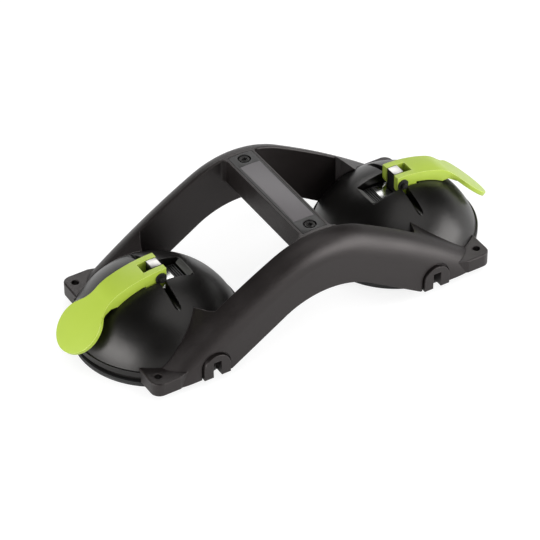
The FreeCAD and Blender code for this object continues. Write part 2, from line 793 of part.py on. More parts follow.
def eased(kind, name, base, width, chosen):
    """Rounds or chamfers the edges that the rule picks from a finished block."""
    doc.recompute()
    item = add("Part::" + kind, name)
    item.Base = base
    item.Edges = [
        (number + 1, width.value, width.value)
        for number, edge in enumerate(base.Shape.Edges) if chosen(edge)]
    return item


def rounded_block(name, inner, outer, drop, edge_radius):
    """An arched block whose outer top edge is rounded."""
    block = arched_block(name + "_block", inner, outer, drop)
    return eased("Fillet", name, block, edge_radius, lambda edge: (
        abs(edge.BoundBox.YMin - outer.value) < NEAR and edge.CenterOfMass.z > 0))


def chamfered_block(name, inner, outer):
    """An arched block whose inner top edge is chamfered."""
    block = arched_block(name + "_block", inner, outer, ZERO)
    return eased("Chamfer", name, block, rail_chamfer, lambda edge: (
        abs(edge.BoundBox.YMax - inner.value) < NEAR and edge.CenterOfMass.z > 0))


def shelf_mask(name, end, shift, across):
    """Plan of the shelf between a rail and its bell, beyond the shelf's slanting edge."""
    path = [
        corner((shelf_end_rail + shift) * end, across),
        corner((shelf_end_bend + shift) * end, shelf_end_bend_width),
        corner((shelf_end_bell + shift) * end, shelf_end_depth),
        corner(rail_end * end, shelf_end_depth), corner(rail_end * end, across)]
    return prism(name, "XY", path, arch_top)


def lug_block(name, end, inset, height):
    """Plan of a corner lug; its outer corner is rounded."""
    far = frame_half_length - inset
    outer = frame_half_width - inset
    path = [
        corner((lug_start + inset) * end, lug_inner), corner(far * end, lug_inner),
        corner(far * end, frame_half_width - lug_corner),
        bow((frame_half_length - lug_corner) * end, outer, lug_corner - inset, end),
        corner(lug_full * end, outer),
        corner((lug_start + inset) * end, lug_start_width - inset)]
    return prism(name, "XY", path, height)


def under_arch(name):
    """The open arch under a rail between its two feet."""
    along = under_arch_radius * sine(under_arch_angle)
    height = under_arch_top - under_arch_radius * (as_size(1) - cosine(under_arch_angle))
    path = [
        corner(-under_arch_foot, frame_bottom), corner(-along, height),
        bow(along, height, under_arch_radius, -1), corner(under_arch_foot, frame_bottom),
        corner(under_arch_foot, -frame_bottom), corner(-under_arch_foot, -frame_bottom)]
    return prism(name, "XZ", path, frame_half_width * 2)


def socket_boss(name, end, radius, y_from, y_to, top_centre):
    """An upright boss with a round top."""
    centre = socket_place * end
    head = cylinder(name + "_head", radius, y_to - y_from, x=centre, y=y_to, z=top_centre,
                    axis=-Y_AXIS)
    post = box(name + "_post", centre - radius, centre + radius, y_from, y_to, frame_bottom,
               top_centre)
    return fuse(name, [head, post])


def cup_room(name, end):
    """Room for a bell and its pad, which stand in the frame with a small gap."""
    bell = bell_outer(name + "_bell", fit_gap)
    place(bell, x=cup_place * end)
    rim = cylinder(name + "_rim", rim_radius + fit_gap, crease_height, x=cup_place * end)
    return [bell, rim]


def bell_screw_stations(end):
    """The two bell screws of one cup that stand in the back rail."""
    return [(cup_place * end + x, y) for x, y in bell_screw_places() if y.value > 0]


def make_rail():
    """The back half of the frame: arched rail, shelves, lugs and side sockets."""
    shelf_plan = []
    hollow_plan = [
        box("hollow_plan", -(frame_half_length - wall), frame_half_length - wall,
            rail_inner + wall, frame_half_width - wall, -flank_drop, arch_top)]
    lugs = []
    hollows = []
    bosses = []
    rooms = []
    for end, tag in ((1, "right"), (-1, "left")):
        shelf_plan.append(shelf_mask(tag + "_shelf", end, ZERO, rail_inner + wall / 2))
        hollow_plan.append(shelf_mask(tag + "_shelf_hollow", end, shelf_end_wall, rail_inner))
        lug = lug_block(tag + "_lug_blank", end, ZERO, lug_top)
        lugs.append(eased("Chamfer", tag + "_lug", lug, lug_chamfer, lambda edge: (
            abs(edge.BoundBox.ZMin - lug_top.value) < NEAR
            and abs(edge.CenterOfMass.x) > lug_full.value
            and edge.CenterOfMass.y > lug_inner.value + lug_corner.value)))
        hollows.append(lug_block(tag + "_lug_hollow", end, wall, lug_top - wall))
        hole_x = (frame_half_length - lug_hole_end) * end
        hole_y = frame_half_width - lug_hole_side
        bosses.append(cylinder(tag + "_lug_boss", lug_boss / 2, lug_top - wall / 2 - frame_bottom,
                               x=hole_x, y=hole_y, z=frame_bottom))
        rooms.append(cylinder(tag + "_lug_hole", lug_hole / 2, lug_top * 2, x=hole_x, y=hole_y))
        face = frame_half_width + socket_stand
        bosses.append(socket_boss(tag + "_socket_face", end, socket_radius,
                                  frame_half_width - wall, face, socket_head))
        bosses.append(socket_boss(tag + "_socket_back", end, socket_slot / 2 + socket_wall,
                                  face - socket_depth - socket_wall, face, socket_head))
        rooms.append(box(tag + "_socket_slot", socket_place * end - socket_slot / 2,
                         socket_place * end + socket_slot / 2, face - socket_depth,
                         face + wall, ZERO, socket_top))
        groove_floor = frame_half_width - socket_groove_depth
        rooms.append(cut(tag + "_socket_groove", socket_boss(
            tag + "_groove_outer", end, socket_radius + socket_groove, groove_floor,
            frame_half_width + wall, socket_head), [socket_boss(
                tag + "_groove_inner", end, socket_radius, groove_floor,
                frame_half_width + wall, socket_head)]))
        rooms.extend(cup_room(tag + "_cup_room", end))
        for number, (x, y) in enumerate(bell_screw_stations(end)):
            name = tag + "_rib_" + str(number)
            bosses.append(box(name, x - bell_ear, x + bell_ear, rib_inner, rib_outer,
                              frame_bottom, rib_top))
            rooms.append(cylinder(name + "_ear_room", bell_ear + fit_gap,
                                  bell_ear_top + fit_gap, x=x, y=y))
            rooms.append(box(name + "_mouth", x - bell_ear, x + bell_ear, rib_inner - wall,
                             y, ZERO, bell_ear_top + fit_gap))
            rooms.append(cylinder(name + "_bore", bell_screw / 2, bell_screw_top, x=x, y=y))

    rounded = rounded_block("rail_rounded", lug_inner / 2, frame_half_width, ZERO, rail_round)
    beam = common("rail_beam", [
        rounded, chamfered_block("rail_chamfered", rail_inner, frame_half_width * 2),
        box("rail_plan", -rail_end, rail_end, rail_inner, frame_half_width, ZERO, arch_top)])
    shelves = common("rail_shelves", [rounded, fuse("shelf_plans", shelf_plan)])
    inside = common("rail_inside", [
        rounded_block("rail_hollow_rounded", lug_inner / 2, frame_half_width - wall, top_skin,
                      rail_round - wall),
        fuse("hollow_plans", hollow_plan)])
    shell = cut("rail_shell", fuse("rail_solid", [beam, shelves] + lugs),
                [inside, under_arch("rail_under_arch")] + hollows)
    ground = box("rail_ground", -flank_foot, flank_foot, ZERO, frame_half_width * 2,
                 -(flank_drop * 2), frame_bottom)
    return cut("rail", fuse("rail_with_bosses", [shell] + bosses + grip_webs()), rooms + [ground])


def make_grip():
    """The cross grip: a trough between the rails, open upwards under its cover."""
    half = grip_width / 2
    low = arch_top - grip_depth
    high = arch_top + wall
    section = [
        corner(-half, low + grip_edge), bow(grip_edge - half, low, grip_edge, 1),
        corner(half - grip_edge, low), bow(half, low + grip_edge, grip_edge, 1),
        corner(half, high), corner(-half, high)]
    block = prism("grip_block", "XZ", section, (rail_inner + wall / 2) * 2, centred=True)
    arch = prism("grip_arch", "XZ", top_path(ZERO), frame_half_width * 2, centred=True)
    bar = common("grip_bar", [block, arch])
    room = half - grip_wall
    seat = half - cover_margin
    seat_end = cover_length / 2 + fit_gap
    hollow = box("grip_hollow", -room, room, -(seat_end - grip_wall), seat_end - grip_wall,
                 low + grip_wall, high)
    cover_seat = box("grip_cover_seat", -seat, seat, -seat_end, seat_end,
                     arch_top - cover_gauge, high)
    trough = cut("grip_trough", bar, [hollow, cover_seat])
    posts = []
    bores = []
    for tag, y in screw_stations():
        top = arch_top - cover_gauge
        posts.append(cylinder("grip_post_" + tag, boss_radius, top - low - grip_wall / 2, y=y,
                              z=low + grip_wall / 2))
        bores.append(cylinder("grip_insert_bore_" + tag, insert_radius, insert_length, y=y,
                              z=top - insert_length))
        bores.append(cylinder("grip_screw_bore_" + tag, screw_shank / 2 + fit_gap,
                              insert_bore_depth, y=y, z=top - insert_bore_depth))
    return cut("grip", fuse("grip_with_posts", [trough] + posts), bores)


def grip_webs():
    """Upright fillets where the grip runs into the back rail."""
    half = grip_width / 2
    blanks = []
    for end, tag in ((1, "right"), (-1, "left")):
        rail_side = rail_inner + rail_chamfer
        path = [
            corner((half - cover_margin / 2) * end, rail_side),
            corner((half + grip_fillet) * end, rail_side),
            corner((half + grip_fillet) * end, rail_inner),
            bow(half * end, rail_inner - grip_fillet, grip_fillet, end),
            corner((half - cover_margin / 2) * end, rail_inner - grip_fillet)]
        web = prism(tag + "_web_blank", "XY", path, grip_depth,
                    start=arch_top - grip_depth + grip_edge)
        arch = prism(tag + "_web_arch", "XZ", top_path(ZERO), frame_half_width * 2)
        blanks.append(common(tag + "_web", [web, arch]))
    return blanks


def screw_stations():
    return [("back", screw_spacing / 2), ("front", -(screw_spacing / 2))]


def make_cover():
    """The soft-cornered strip let into the top of the grip."""
    half = grip_width / 2 - cover_margin - fit_gap / 2
    end = cover_length / 2
    blank = box("cover_blank", -half, half, -end, end, arch_top - cover_gauge,
                arch_top + wall)
    arch = prism("cover_arch", "XZ", top_path(ZERO), frame_half_width * 2, centred=True)
    body = common("cover_body", [blank, arch])
    holes = [cut("cover_label_seat", label_blank("cover_label_blank"), [
        prism("cover_label_floor", "XZ", top_path(label_gauge / 2), frame_half_width * 2,
              centred=True)])]
    for tag, y in screw_stations():
        holes.append(cylinder("cover_recess_" + tag, screw_recess / 2, screw_recess_depth + wall,
                              y=y, z=arch_top - screw_recess_depth))
        holes.append(cylinder("cover_bore_" + tag, screw_shank / 2 + fit_gap, cover_gauge * 2,
                              y=y, z=arch_top - cover_gauge * 2))
    return node(cut("cover_cut", body, holes), "handle_cover")


def label_blank(name):
    return box(name, -(label_width / 2), label_width / 2, -(label_length / 2),
               label_length / 2, arch_top - cover_gauge / 2, arch_top + wall)


def make_label():
    """The thin label panel, bowed like the cover under it."""
    above = common("label_body", [
        label_blank("label_blank"),
        prism("label_top", "XZ", top_path(-(label_gauge / 2)), frame_half_width * 2,
              centred=True)])
    below = prism("label_floor", "XZ", top_path(label_gauge / 2), frame_half_width * 2,
                  centred=True)
    return node(cut("label_cut", above, [below]), "label_plate")


def make_handle_screws():
    solids = []
    for tag, y in screw_stations():
        seat = arch_top - screw_recess_depth
        head = cylinder("handle_screw_head_" + tag, screw_head / 2, screw_head_height, y=y,
                        z=seat)
        shank = cylinder("handle_screw_shank_" + tag, screw_shank / 2, screw_length, y=y,
                         z=seat - screw_length)
        socket = cylinder("handle_screw_socket_" + tag, screw_socket / 2, screw_head_height,
                          y=y, z=seat + screw_head_height / 3)
        solids.append(cut("handle_screw_" + tag, fuse("handle_screw_body_" + tag, [
            head, shank]), [socket]))
    group = add("Part::Compound", "handle_screw_group")
    group.Links = solids
    return node(group, "handle_screws")


def make_handle_inserts():
    solids = []
    for tag, y in screw_stations():
        bottom = arch_top - cover_gauge - insert_length
        sleeve = cylinder("insert_sleeve_" + tag, insert_radius, insert_length, y=y, z=bottom)
        bore = cylinder("insert_bore_" + tag, screw_shank / 2, insert_length, y=y, z=bottom)
        solids.append(cut("insert_" + tag, sleeve, [bore]))
    group = add("Part::Compound", "insert_group")
    group.Links = solids
    return node(group, "handle_inserts")


def make_bell_screws(side):
    solids = []
    for number, (x, y) in enumerate(bell_screw_places()):
        tag = side + "_bell_screw_" + str(number)
        head = cylinder(tag + "_head", bell_screw_head / 2, bell_screw_head_height, x=x, y=y,
                        z=bell_ear_bottom)
        shank = cylinder(tag + "_shank", bell_screw / 2, bell_screw_top - bell_ear_bottom,
                         x=x, y=y, z=bell_ear_bottom)
        socket = cylinder(tag + "_socket", screw_socket / 2, bell_screw_head_height / 2,
                          x=x, y=y, z=bell_ear_bottom)
        solids.append(cut(tag, fuse(tag + "_body", [head, shank]), [socket]))
    group = add("Part::Compound", side + "_bell_screw_group")
    group.Links = solids
    return cup_node(group, side, "bell_screws")


def make_frame():
    rail = make_rail()
    front = mirrored("front_rail", rail, Y_AXIS)
    return node(fuse("frame_body", [rail, front, make_grip()]), "frame")


# ---------------------------------------------------------------- run

make_frame()
make_cover()
make_label()
make_handle_screws()
make_handle_inserts()
for side in ("left", "right"):
    make_bell(side)
    make_bell_screws(side)
    make_pad(side)
    make_pressure_plate(side)
    make_link(side)
    make_rivets(side)
    make_pin(side)
    make_rings(side)
    make_bearing_plate(side)
    make_spring(side)
    make_lever(side)
doc.recompute()
for item in doc.Objects:
    if "Invalid" in item.State or "Error" in item.State:
        raise RuntimeError(item.Name + " did not compute: " + ", ".join(item.State))
for item in nodes:
    if item.Shape.isNull() or not item.Shape.isValid():
        raise RuntimeError(item.Label + " has no valid shape")
    item.Shape.exportStep("parts/" + item.Label + ".step")
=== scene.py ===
"""Two-cup suction lifter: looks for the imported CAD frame, laid out as an add-on."""

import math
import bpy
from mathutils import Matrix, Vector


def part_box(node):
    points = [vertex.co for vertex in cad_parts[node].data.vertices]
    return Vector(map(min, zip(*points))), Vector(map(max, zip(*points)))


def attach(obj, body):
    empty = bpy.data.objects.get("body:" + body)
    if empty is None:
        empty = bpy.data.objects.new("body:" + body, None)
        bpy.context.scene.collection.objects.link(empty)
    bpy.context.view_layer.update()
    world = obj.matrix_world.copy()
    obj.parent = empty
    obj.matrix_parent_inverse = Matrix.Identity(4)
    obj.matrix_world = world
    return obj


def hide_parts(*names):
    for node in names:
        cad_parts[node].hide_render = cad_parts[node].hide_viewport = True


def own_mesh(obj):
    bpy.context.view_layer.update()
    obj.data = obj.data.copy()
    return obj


bl_info = {
    "name": "Suction Lifter Looks",
    "version": (1, 0, 0),
    "blender": (4, 5, 0),
    "location": "View3D > Sidebar > Lifter",
    "description": "Finishes, detail pieces and studio for a two-cup suction lifter",
    "category": "Object",
}

import bpy
from mathutils import Matrix, Vector

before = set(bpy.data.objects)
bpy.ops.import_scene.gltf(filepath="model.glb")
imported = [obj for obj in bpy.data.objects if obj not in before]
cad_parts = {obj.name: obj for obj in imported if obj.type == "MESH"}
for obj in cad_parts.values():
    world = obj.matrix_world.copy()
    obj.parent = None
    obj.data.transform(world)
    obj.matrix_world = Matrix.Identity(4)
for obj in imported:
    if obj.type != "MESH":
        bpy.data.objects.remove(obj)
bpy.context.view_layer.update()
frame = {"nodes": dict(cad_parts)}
NODES = frame["nodes"]
SIDES = ("left", "right")

# Where each cup's axis stands along the lifter
CUP_X = {side: sum(corner[0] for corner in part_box(side + "_suction_pad")) / 2
         for side in SIDES}

# Faces round a pad and round a screw's head
PAD_FACES = 96
SCREW_FACES = 24

# The rubber pad, in metres: the height of its edge, its flat lip, its rounding, the gutter
# round its back by outer, deepest and inner radius, and the line round its rim
PAD_RIM = 0.0035
PAD_LIP = 0.009
PAD_EASE = 0.0003
GUTTER = (0.0562, 0.0551, 0.0540)
GUTTER_DEPTH = 0.0004
RIM_LINE = ((0.0010, 0), (0.0002, -0.0004))

# The pad's sealing face and its back, from the edge inwards: steps of how far in and how
# far out, then points of radius and height
LIP_GROOVE = ((0.0004, -0.0005), (0.0008, 0), (0.0004, 0.0005))
LIP_FLATS = (0.0015, 0.0012)
CROWN_STEPS = (
    (0.00525, -0.00205), (0.00525, -0.0017), (0.00525, -0.00135), (0.00525, -0.0011),
    (0.010, -0.0006), (0.010, -0.0003))
PAD_BACK = ((0.0476, 0.0057), (0.0430, 0.0075), (0.0380, 0.0087), (0.0330, 0.0099))
PAD_BOSS = 0.0200

# The well in a bell's top: heights of its floor and of its slope's foot, how far the foot
# stands from the cup's axis, and how far the slope runs as it rises by one
WELL_FLOOR = 0.0439
WELL_FOOT = 0.0220
WELL_STEP = 0.0460
WELL_RUN = 1.45

# The pad on the slope: length, width and thickness, gap to the foot, cut of its corners,
# steps of its raised border, and the upward share of a normal that marks its top
SLOPE_PAD = (0.0050, 0.0184, 0.00035)
SLOPE_PAD_GAP = 0.0003
SLOPE_PAD_CORNER = 0.0013
SLOPE_PAD_BORDER = ((0.0003, 0.0001), (0.0003, -0.0001), (0.0002, -0.00008))
SLOPE_PAD_TOP = 0.7

# The ribbed strip: width, thickness, gap at each end, bands and the steps of each rib
STRIP_WIDTH = 0.0200
STRIP_THICK = 0.0007
STRIP_GAP = 0.0002
STRIP_BANDS = 8
STRIP_RIB = ((0.0, 0.0006), (0.0001, 0.0001))

# The grip's screws, as shares of the head's radius: the head's depth, rim, socket and lip,
# the shank, its tip, and the rounding of every edge
HEAD_DEPTH = 0.43
HEAD_RIM = 0.16
SOCKET = 0.42
SOCKET_LIP = 0.14
SHANK = 0.54
SHANK_TIP = 0.12
SCREW_EASE = 0.05

# The screw's socket: its depth as a share of the head's, how many lobes it has, how far
# the hollows between them are drawn in, and the margins that find their points
SOCKET_DEPTH = 0.7
LOBES = 6
HOLLOW_KEEP = 0.74
HOLLOW_FROM = -0.5
SOCKET_REACH = 1.02
SOCKET_FLOOR = 0.99

# A copied CAD node: points closer than this merge, and faces flatter than this join
MERGE_WITHIN = 0.00001
FLAT_WITHIN = math.radians(0.5)

# Material slot that a rounded edge or a chosen face takes, where a piece has a second
# finish; on the levers this slot holds a paler lime, a painted highlight along the edges
EDGE_SLOT = 1

# Mould grain: pits to each grain, their depth as a share of a grain's size, and how much
# the grains differ in tone
PIT_CELLS = 0.8
GRAIN_DEPTH = 0.25
SPECK = 0.3

# Noise values between which the handling marks fade in; on plastic, their size in metres,
# how much they shift its tone, and how much they swing its gloss
MARKS_FROM = 0.35
MARKS_TO = 0.65
PLASTIC_MARKS = 0.03
MARKS_TONE = 0.25
PLASTIC_SWING = 0.04

# Metal: the width of its rolling lines, how drawn out they are, their relief, its softened
# edges, the size of its handling marks, the tones between which its colour runs, and the
# swing of its gloss
LINE_WIDTH = 0.0004
LINE_STRETCH = (0.06, 1.0, 1.0)
LINE_BUMP = 0.12
LINE_DEPTH = 0.0001
METAL_EASE = 0.0003
METAL_MARKS = 0.008
METAL_TONES = (0.86, 1.08)
METAL_SWING = 0.08

# Painted edge highlight: how far the eased normal has turned where the paler edge colour
# starts and is full, the size of its patches in metres, its level, how much paler it is, and
# the samples that ease it
EDGE_HIGHLIGHT_FROM = 0.03
EDGE_HIGHLIGHT_FULL = 0.28
EDGE_HIGHLIGHT_PATCH = 0.006
EDGE_HIGHLIGHT_LEVEL = 0.8
EDGE_HIGHLIGHT_PALER = 2.2
EDGE_SAMPLES = 6

# The floor: its width in metres, its lit grey, the grey that the camera sees shadows on,
# its glow and its roughness
FLOOR_WIDTH = 8
FLOOR_GREY = 0.8
FLOOR_SHOWN = 0.3
FLOOR_GLOW = 0.8
FLOOR_ROUGHNESS = 0.9

# Share of the floor's shown colour that mirror images see; the rest is its lit colour
MIRROR_FLOOR = 0.35

# Sines of the angles above the floor where the white backdrop starts to fade and is gone
BACKDROP_FULL = 0.12
BACKDROP_GONE = 0.30

# Lamps: name, the setting that holds the power, direction from the camera's target, and
# width and height in metres
LAMPS = (
    ("Top lamp", "top", (0.25, -0.30, 0.92), (1.0, 1.0)),
    ("Left lamp", "left", (-1.0, -0.10, 0.23), (1.2, 0.5)),
    ("Right lamp", "right", (0.66, -0.70, 0.30), (1.4, 0.6)),
    ("Back lamp", "back", (0.34, 0.68, 0.64), (0.9, 0.6)),
)

# The camera: the width of its sensor in millimetres and how far it sees in metres
SENSOR_WIDTH = 36
SIGHT = 20


# ------------------------------------------------------------ settings a user may change

class LifterColours(bpy.types.PropertyGroup):
    """Colours of the lifter's finishes."""

    frame: bpy.props.FloatVectorProperty(
        name="Frame", description="Grained plastic of the frame",
        default=(0.0085, 0.0068, 0.0066), size=3, min=0, max=1, subtype="COLOR")
    bell: bpy.props.FloatVectorProperty(
        name="Bell", description="Finer plastic of the two bells",
        default=(0.0034, 0.0031, 0.0029), size=3, min=0, max=1, subtype="COLOR")
    cover: bpy.props.FloatVectorProperty(
        name="Grip cover", description="Plastic strip let into the grip",
        default=(0.016, 0.015, 0.0145), size=3, min=0, max=1, subtype="COLOR")
    label: bpy.props.FloatVectorProperty(
        name="Label", description="Bare grey panel on the grip",
        default=(0.110, 0.102, 0.107), size=3, min=0, max=1, subtype="COLOR")
    lever: bpy.props.FloatVectorProperty(
        name="Lever", description="Lime plastic of the two levers",
        default=(0.38, 0.505, 0.052), size=3, min=0, max=1, subtype="COLOR")
    # Paler lime on the levers' rounded edges is a painted highlight
    lever_edge: bpy.props.FloatVectorProperty(
        name="Lever edge", description="Paler lime on the levers' rounded edges",
        default=(0.72, 0.82, 0.26), size=3, min=0, max=1, subtype="COLOR")
    rubber: bpy.props.FloatVectorProperty(
        name="Pad", description="Rubber of the suction pads and well strips",
        default=(0.012, 0.012, 0.012), size=3, min=0, max=1, subtype="COLOR")
    # The links' own pale metal, shown only on their tops; their sides take painted shade
    link: bpy.props.FloatVectorProperty(
        name="Pull link", description="Bright ground tops of the pull links",
        default=(0.49, 0.48, 0.46), size=3, min=0, max=1, subtype="COLOR")
    # Blackened steel of the grip screws, pins and rings; on the links' sides this dark
    # colour is painted shade
    blackened_and_shade: bpy.props.FloatVectorProperty(
        name="Blackened steel", description="Grip screws, pins, rings and the links' sides",
        default=(0.030, 0.029, 0.028), size=3, min=0, max=1, subtype="COLOR")
    slope_pad: bpy.props.FloatVectorProperty(
        name="Slope pad", description="Grey pad on the slope in each bell's well",
        default=(0.10, 0.10, 0.096), size=3, min=0, max=1, subtype="COLOR")
    steel: bpy.props.FloatVectorProperty(
        name="Steel", description="Zinc plated steel of plates, springs and rivets",
        default=(0.52, 0.52, 0.51), size=3, min=0, max=1, subtype="COLOR")
    brass: bpy.props.FloatVectorProperty(
        name="Brass", description="Threaded inserts in the grip",
        default=(0.55, 0.38, 0.14), size=3, min=0, max=1, subtype="COLOR")


class LifterSizes(bpy.types.PropertyGroup):
    """Sizes of the grain and of the softened edges."""

    grain: bpy.props.FloatProperty(
        name="Grain", description="Size of one grain on the frame's plastic",
        default=0.0006, min=0.0001, max=0.005, unit="LENGTH")
    fine_grain: bpy.props.FloatProperty(
        name="Fine grain", description="Size of one grain on the bells and levers",
        default=0.0004, min=0.0001, max=0.005, unit="LENGTH")
    moulded_edge: bpy.props.FloatProperty(
        name="Moulded edge", description="Radius that softens a moulded edge",
        default=0.0007, min=0, max=0.005, unit="LENGTH")
    lever_edge: bpy.props.FloatProperty(
        name="Lever edge", description="Rounding of the levers' long edges",
        default=0.0009, min=0.0001, max=0.002, unit="LENGTH")
    metal_edge: bpy.props.FloatProperty(
        name="Metal edge", description="Rounding of the links and plates",
        default=0.0003, min=0.0001, max=0.001, unit="LENGTH")
    trim_edge: bpy.props.FloatProperty(
        name="Trim edge", description="Rounding of the grip's strip and panel",
        default=0.00025, min=0.0001, max=0.001, unit="LENGTH")


class LifterStudio(bpy.types.PropertyGroup):
    """Where the camera stands, and how bright the studio is."""

    azimuth: bpy.props.FloatProperty(
        name="Azimuth", description="Camera's turn about the lifter",
        default=math.radians(-31.22), subtype="ANGLE")
    elevation: bpy.props.FloatProperty(
        name="Elevation", description="Camera's height above the ground, as an angle",
        default=math.radians(39.36), subtype="ANGLE")
    roll: bpy.props.FloatProperty(
        name="Roll", description="Camera's roll",
        default=math.radians(-0.39), subtype="ANGLE")
    distance: bpy.props.FloatProperty(
        name="Distance", description="From the camera to its target",
        default=2.1435, min=0.1, unit="LENGTH")
    target: bpy.props.FloatVectorProperty(
        name="Target", description="Point that the camera looks at",
        default=(-0.00229, 0.00596, 0.00896), size=3, subtype="TRANSLATION")
    lens: bpy.props.FloatProperty(
        name="Lens", description="Focal length for a 36 mm wide sensor",
        default=198.3, min=1)
    backdrop: bpy.props.FloatProperty(
        name="Backdrop", description="Brightness of the backdrop, 1 is white",
        default=1.0, min=0, max=1)
    top: bpy.props.FloatProperty(
        name="Top lamp", description="Power of the lamp above the lifter",
        default=3.4, min=0, unit="POWER")
    left: bpy.props.FloatProperty(
        name="Left lamp", description="Power of the lamp to the left",
        default=11.5, min=0, unit="POWER")
    right: bpy.props.FloatProperty(
        name="Right lamp", description="Power of the lamp to the right",
        default=13.5, min=0, unit="POWER")
    back: bpy.props.FloatProperty(
        name="Back lamp", description="Power of the lamp behind the lifter",
        default=4.2, min=0, unit="POWER")
    reach: bpy.props.FloatProperty(
        name="Lamp distance", description="From each lamp to the lifter",
        default=1.2, min=0.3, unit="LENGTH")
    sky: bpy.props.FloatProperty(
        name="Room light", description="Strength of the even light of the room",
        default=0.42, min=0)
    dark: bpy.props.FloatProperty(
        name="Dark room",
        description="Strength of the room above the backdrop in mirror images",
        default=0.03, min=0)


# ------------------------------------------------------------ shader helpers

def noise(tree, vector, size, detail=2.0, roughness=0.5):
    """Noise whose features are about size metres across."""
    node = tree.nodes.new("ShaderNodeTexNoise")
    node.inputs["Scale"].default_value = 1 / size
    node.inputs["Detail"].default_value = detail
    node.inputs["Roughness"].default_value = roughness
    tree.links.new(vector, node.inputs["Vector"])
    return node


def group_with(name, inputs, outputs):
    """An empty shader node group with named sockets."""
    group = bpy.data.node_groups.new(name, "ShaderNodeTree")
    for label, kind, default in inputs:
        socket = group.interface.new_socket(name=label, in_out="INPUT", socket_type=kind)
        socket.default_value = default
    for label, kind in outputs:
        group.interface.new_socket(name=label, in_out="OUTPUT", socket_type=kind)
    return group, group.nodes.new("NodeGroupInput"), group.nodes.new("NodeGroupOutput")


def scaled(tree, vector, factor):
    """A vector scaled by a socket's value."""
    node = tree.nodes.new("ShaderNodeVectorMath")
    node.operation = "SCALE"
    tree.links.new(vector, node.inputs[0])
    tree.links.new(factor, node.inputs["Scale"])
    return node.outputs["Vector"]


def maths(tree, operation, first, second):
    """A Math node; each operand is a socket or a number."""
    node = tree.nodes.new("ShaderNodeMath")
    node.operation = operation
    for slot, operand in enumerate((first, second)):
        if isinstance(operand, (int, float)):
            node.inputs[slot].default_value = operand
        else:
            tree.links.new(operand, node.inputs[slot])
    return node.outputs[0]


def grain_group():
    """Spark-eroded grain of a mould: fine pits over a slow unevenness."""
    name = "Moulded grain"
    if name in bpy.data.node_groups:
        return bpy.data.node_groups[name]
    group, enter, leave = group_with(
        name,
        [("Grains per metre", "NodeSocketFloat", 1500.0),
         ("Speck", "NodeSocketFloat", SPECK)],
        [("Height", "NodeSocketFloat"), ("Tone", "NodeSocketFloat")])
    place = group.nodes.new("ShaderNodeTexCoord").outputs["Object"]
    grains = scaled(group, place, enter.outputs["Grains per metre"])
    fine = noise(group, grains, 1.0, 3.0, 0.6)
    cells = group.nodes.new("ShaderNodeTexVoronoi")
    cells.inputs["Scale"].default_value = PIT_CELLS
    group.links.new(grains, cells.inputs["Vector"])
    height = maths(group, "MULTIPLY_ADD", cells.outputs["Distance"], 0.5)
    group.links.new(fine.outputs["Fac"], height.node.inputs[2])
    speck = maths(group, "MULTIPLY", maths(group, "SUBTRACT", fine.outputs["Fac"], 0.5),
                  enter.outputs["Speck"])
    group.links.new(height, leave.inputs["Height"])
    group.links.new(maths(group, "ADD", speck, 0.5), leave.inputs["Tone"])
    return group


def handling_group():
    """Slow patches where hands and dust have dulled or polished a surface."""
    name = "Handling marks"
    if name in bpy.data.node_groups:
        return bpy.data.node_groups[name]
    group, enter, leave = group_with(
        name, [("Patch size", "NodeSocketFloat", 0.03)], [("Mask", "NodeSocketFloat")])
    place = group.nodes.new("ShaderNodeTexCoord").outputs["Object"]
    per_metre = maths(group, "DIVIDE", 1.0, enter.outputs["Patch size"])
    patches = noise(group, scaled(group, place, per_metre), 1.0, 4.0, 0.55)
    spread = group.nodes.new("ShaderNodeMapRange")
    spread.inputs["From Min"].default_value = MARKS_FROM
    spread.inputs["From Max"].default_value = MARKS_TO
    group.links.new(patches.outputs["Fac"], spread.inputs["Value"])
    group.links.new(spread.outputs["Result"], leave.inputs["Mask"])
    return group


def brushed_group():
    """Fine rolling lines along X on sheet metal."""
    name = "Rolled metal"
    if name in bpy.data.node_groups:
        return bpy.data.node_groups[name]
    group, enter, leave = group_with(
        name, [("Line width", "NodeSocketFloat", 0.0004)], [("Lines", "NodeSocketFloat")])
    place = group.nodes.new("ShaderNodeTexCoord").outputs["Object"]
    stretch = group.nodes.new("ShaderNodeMapping")
    stretch.inputs["Scale"].default_value = LINE_STRETCH
    group.links.new(place, stretch.inputs["Vector"])
    per_metre = maths(group, "DIVIDE", 1.0, enter.outputs["Line width"])
    lines = noise(group, scaled(group, stretch.outputs["Vector"], per_metre), 1.0, 3.0, 0.6)
    group.links.new(lines.outputs["Fac"], leave.inputs["Lines"])
    return group


def use_group(tree, group, **values):
    """Places a node group in a material with its own values."""
    node = tree.nodes.new("ShaderNodeGroup")
    node.node_tree = group
    for name, value in values.items():
        node.inputs[name.replace("_", " ")].default_value = value
    return node


def blend_colours(tree, mask, low, high):
    """A colour that runs from low to high as the mask runs from 0 to 1."""
    node = tree.nodes.new("ShaderNodeMix")
    node.data_type = "RGBA"
    tree.links.new(mask, node.inputs[0])
    node.inputs[6].default_value = (*low, 1)
    node.inputs[7].default_value = (*high, 1)
    return node.outputs[2]


def between(tree, mask, low, high):
    """A value that runs from low to high as the mask runs from 0 to 1."""
    node = tree.nodes.new("ShaderNodeMapRange")
    node.inputs["To Min"].default_value = low
    node.inputs["To Max"].default_value = high
    tree.links.new(mask, node.inputs["Value"])
    return node.outputs["Result"]


def new_material(name):
    """A material with its tree and its own shader."""
    material = bpy.data.materials.new(name)
    material.use_nodes = True
    tree = material.node_tree
    return material, tree, tree.nodes["Principled BSDF"]


def tinted(colour, factor):
    """A colour made darker or paler by a factor, up to white."""
    return tuple(min(1.0, channel * factor) for channel in colour)


def softened_normal(tree, radius):
    """The surface's normal with its sharp edges eased over a small radius."""
    edge = tree.nodes.new("ShaderNodeBevel")
    edge.samples = EDGE_SAMPLES
    edge.inputs["Radius"].default_value = radius
    return edge.outputs["Normal"]


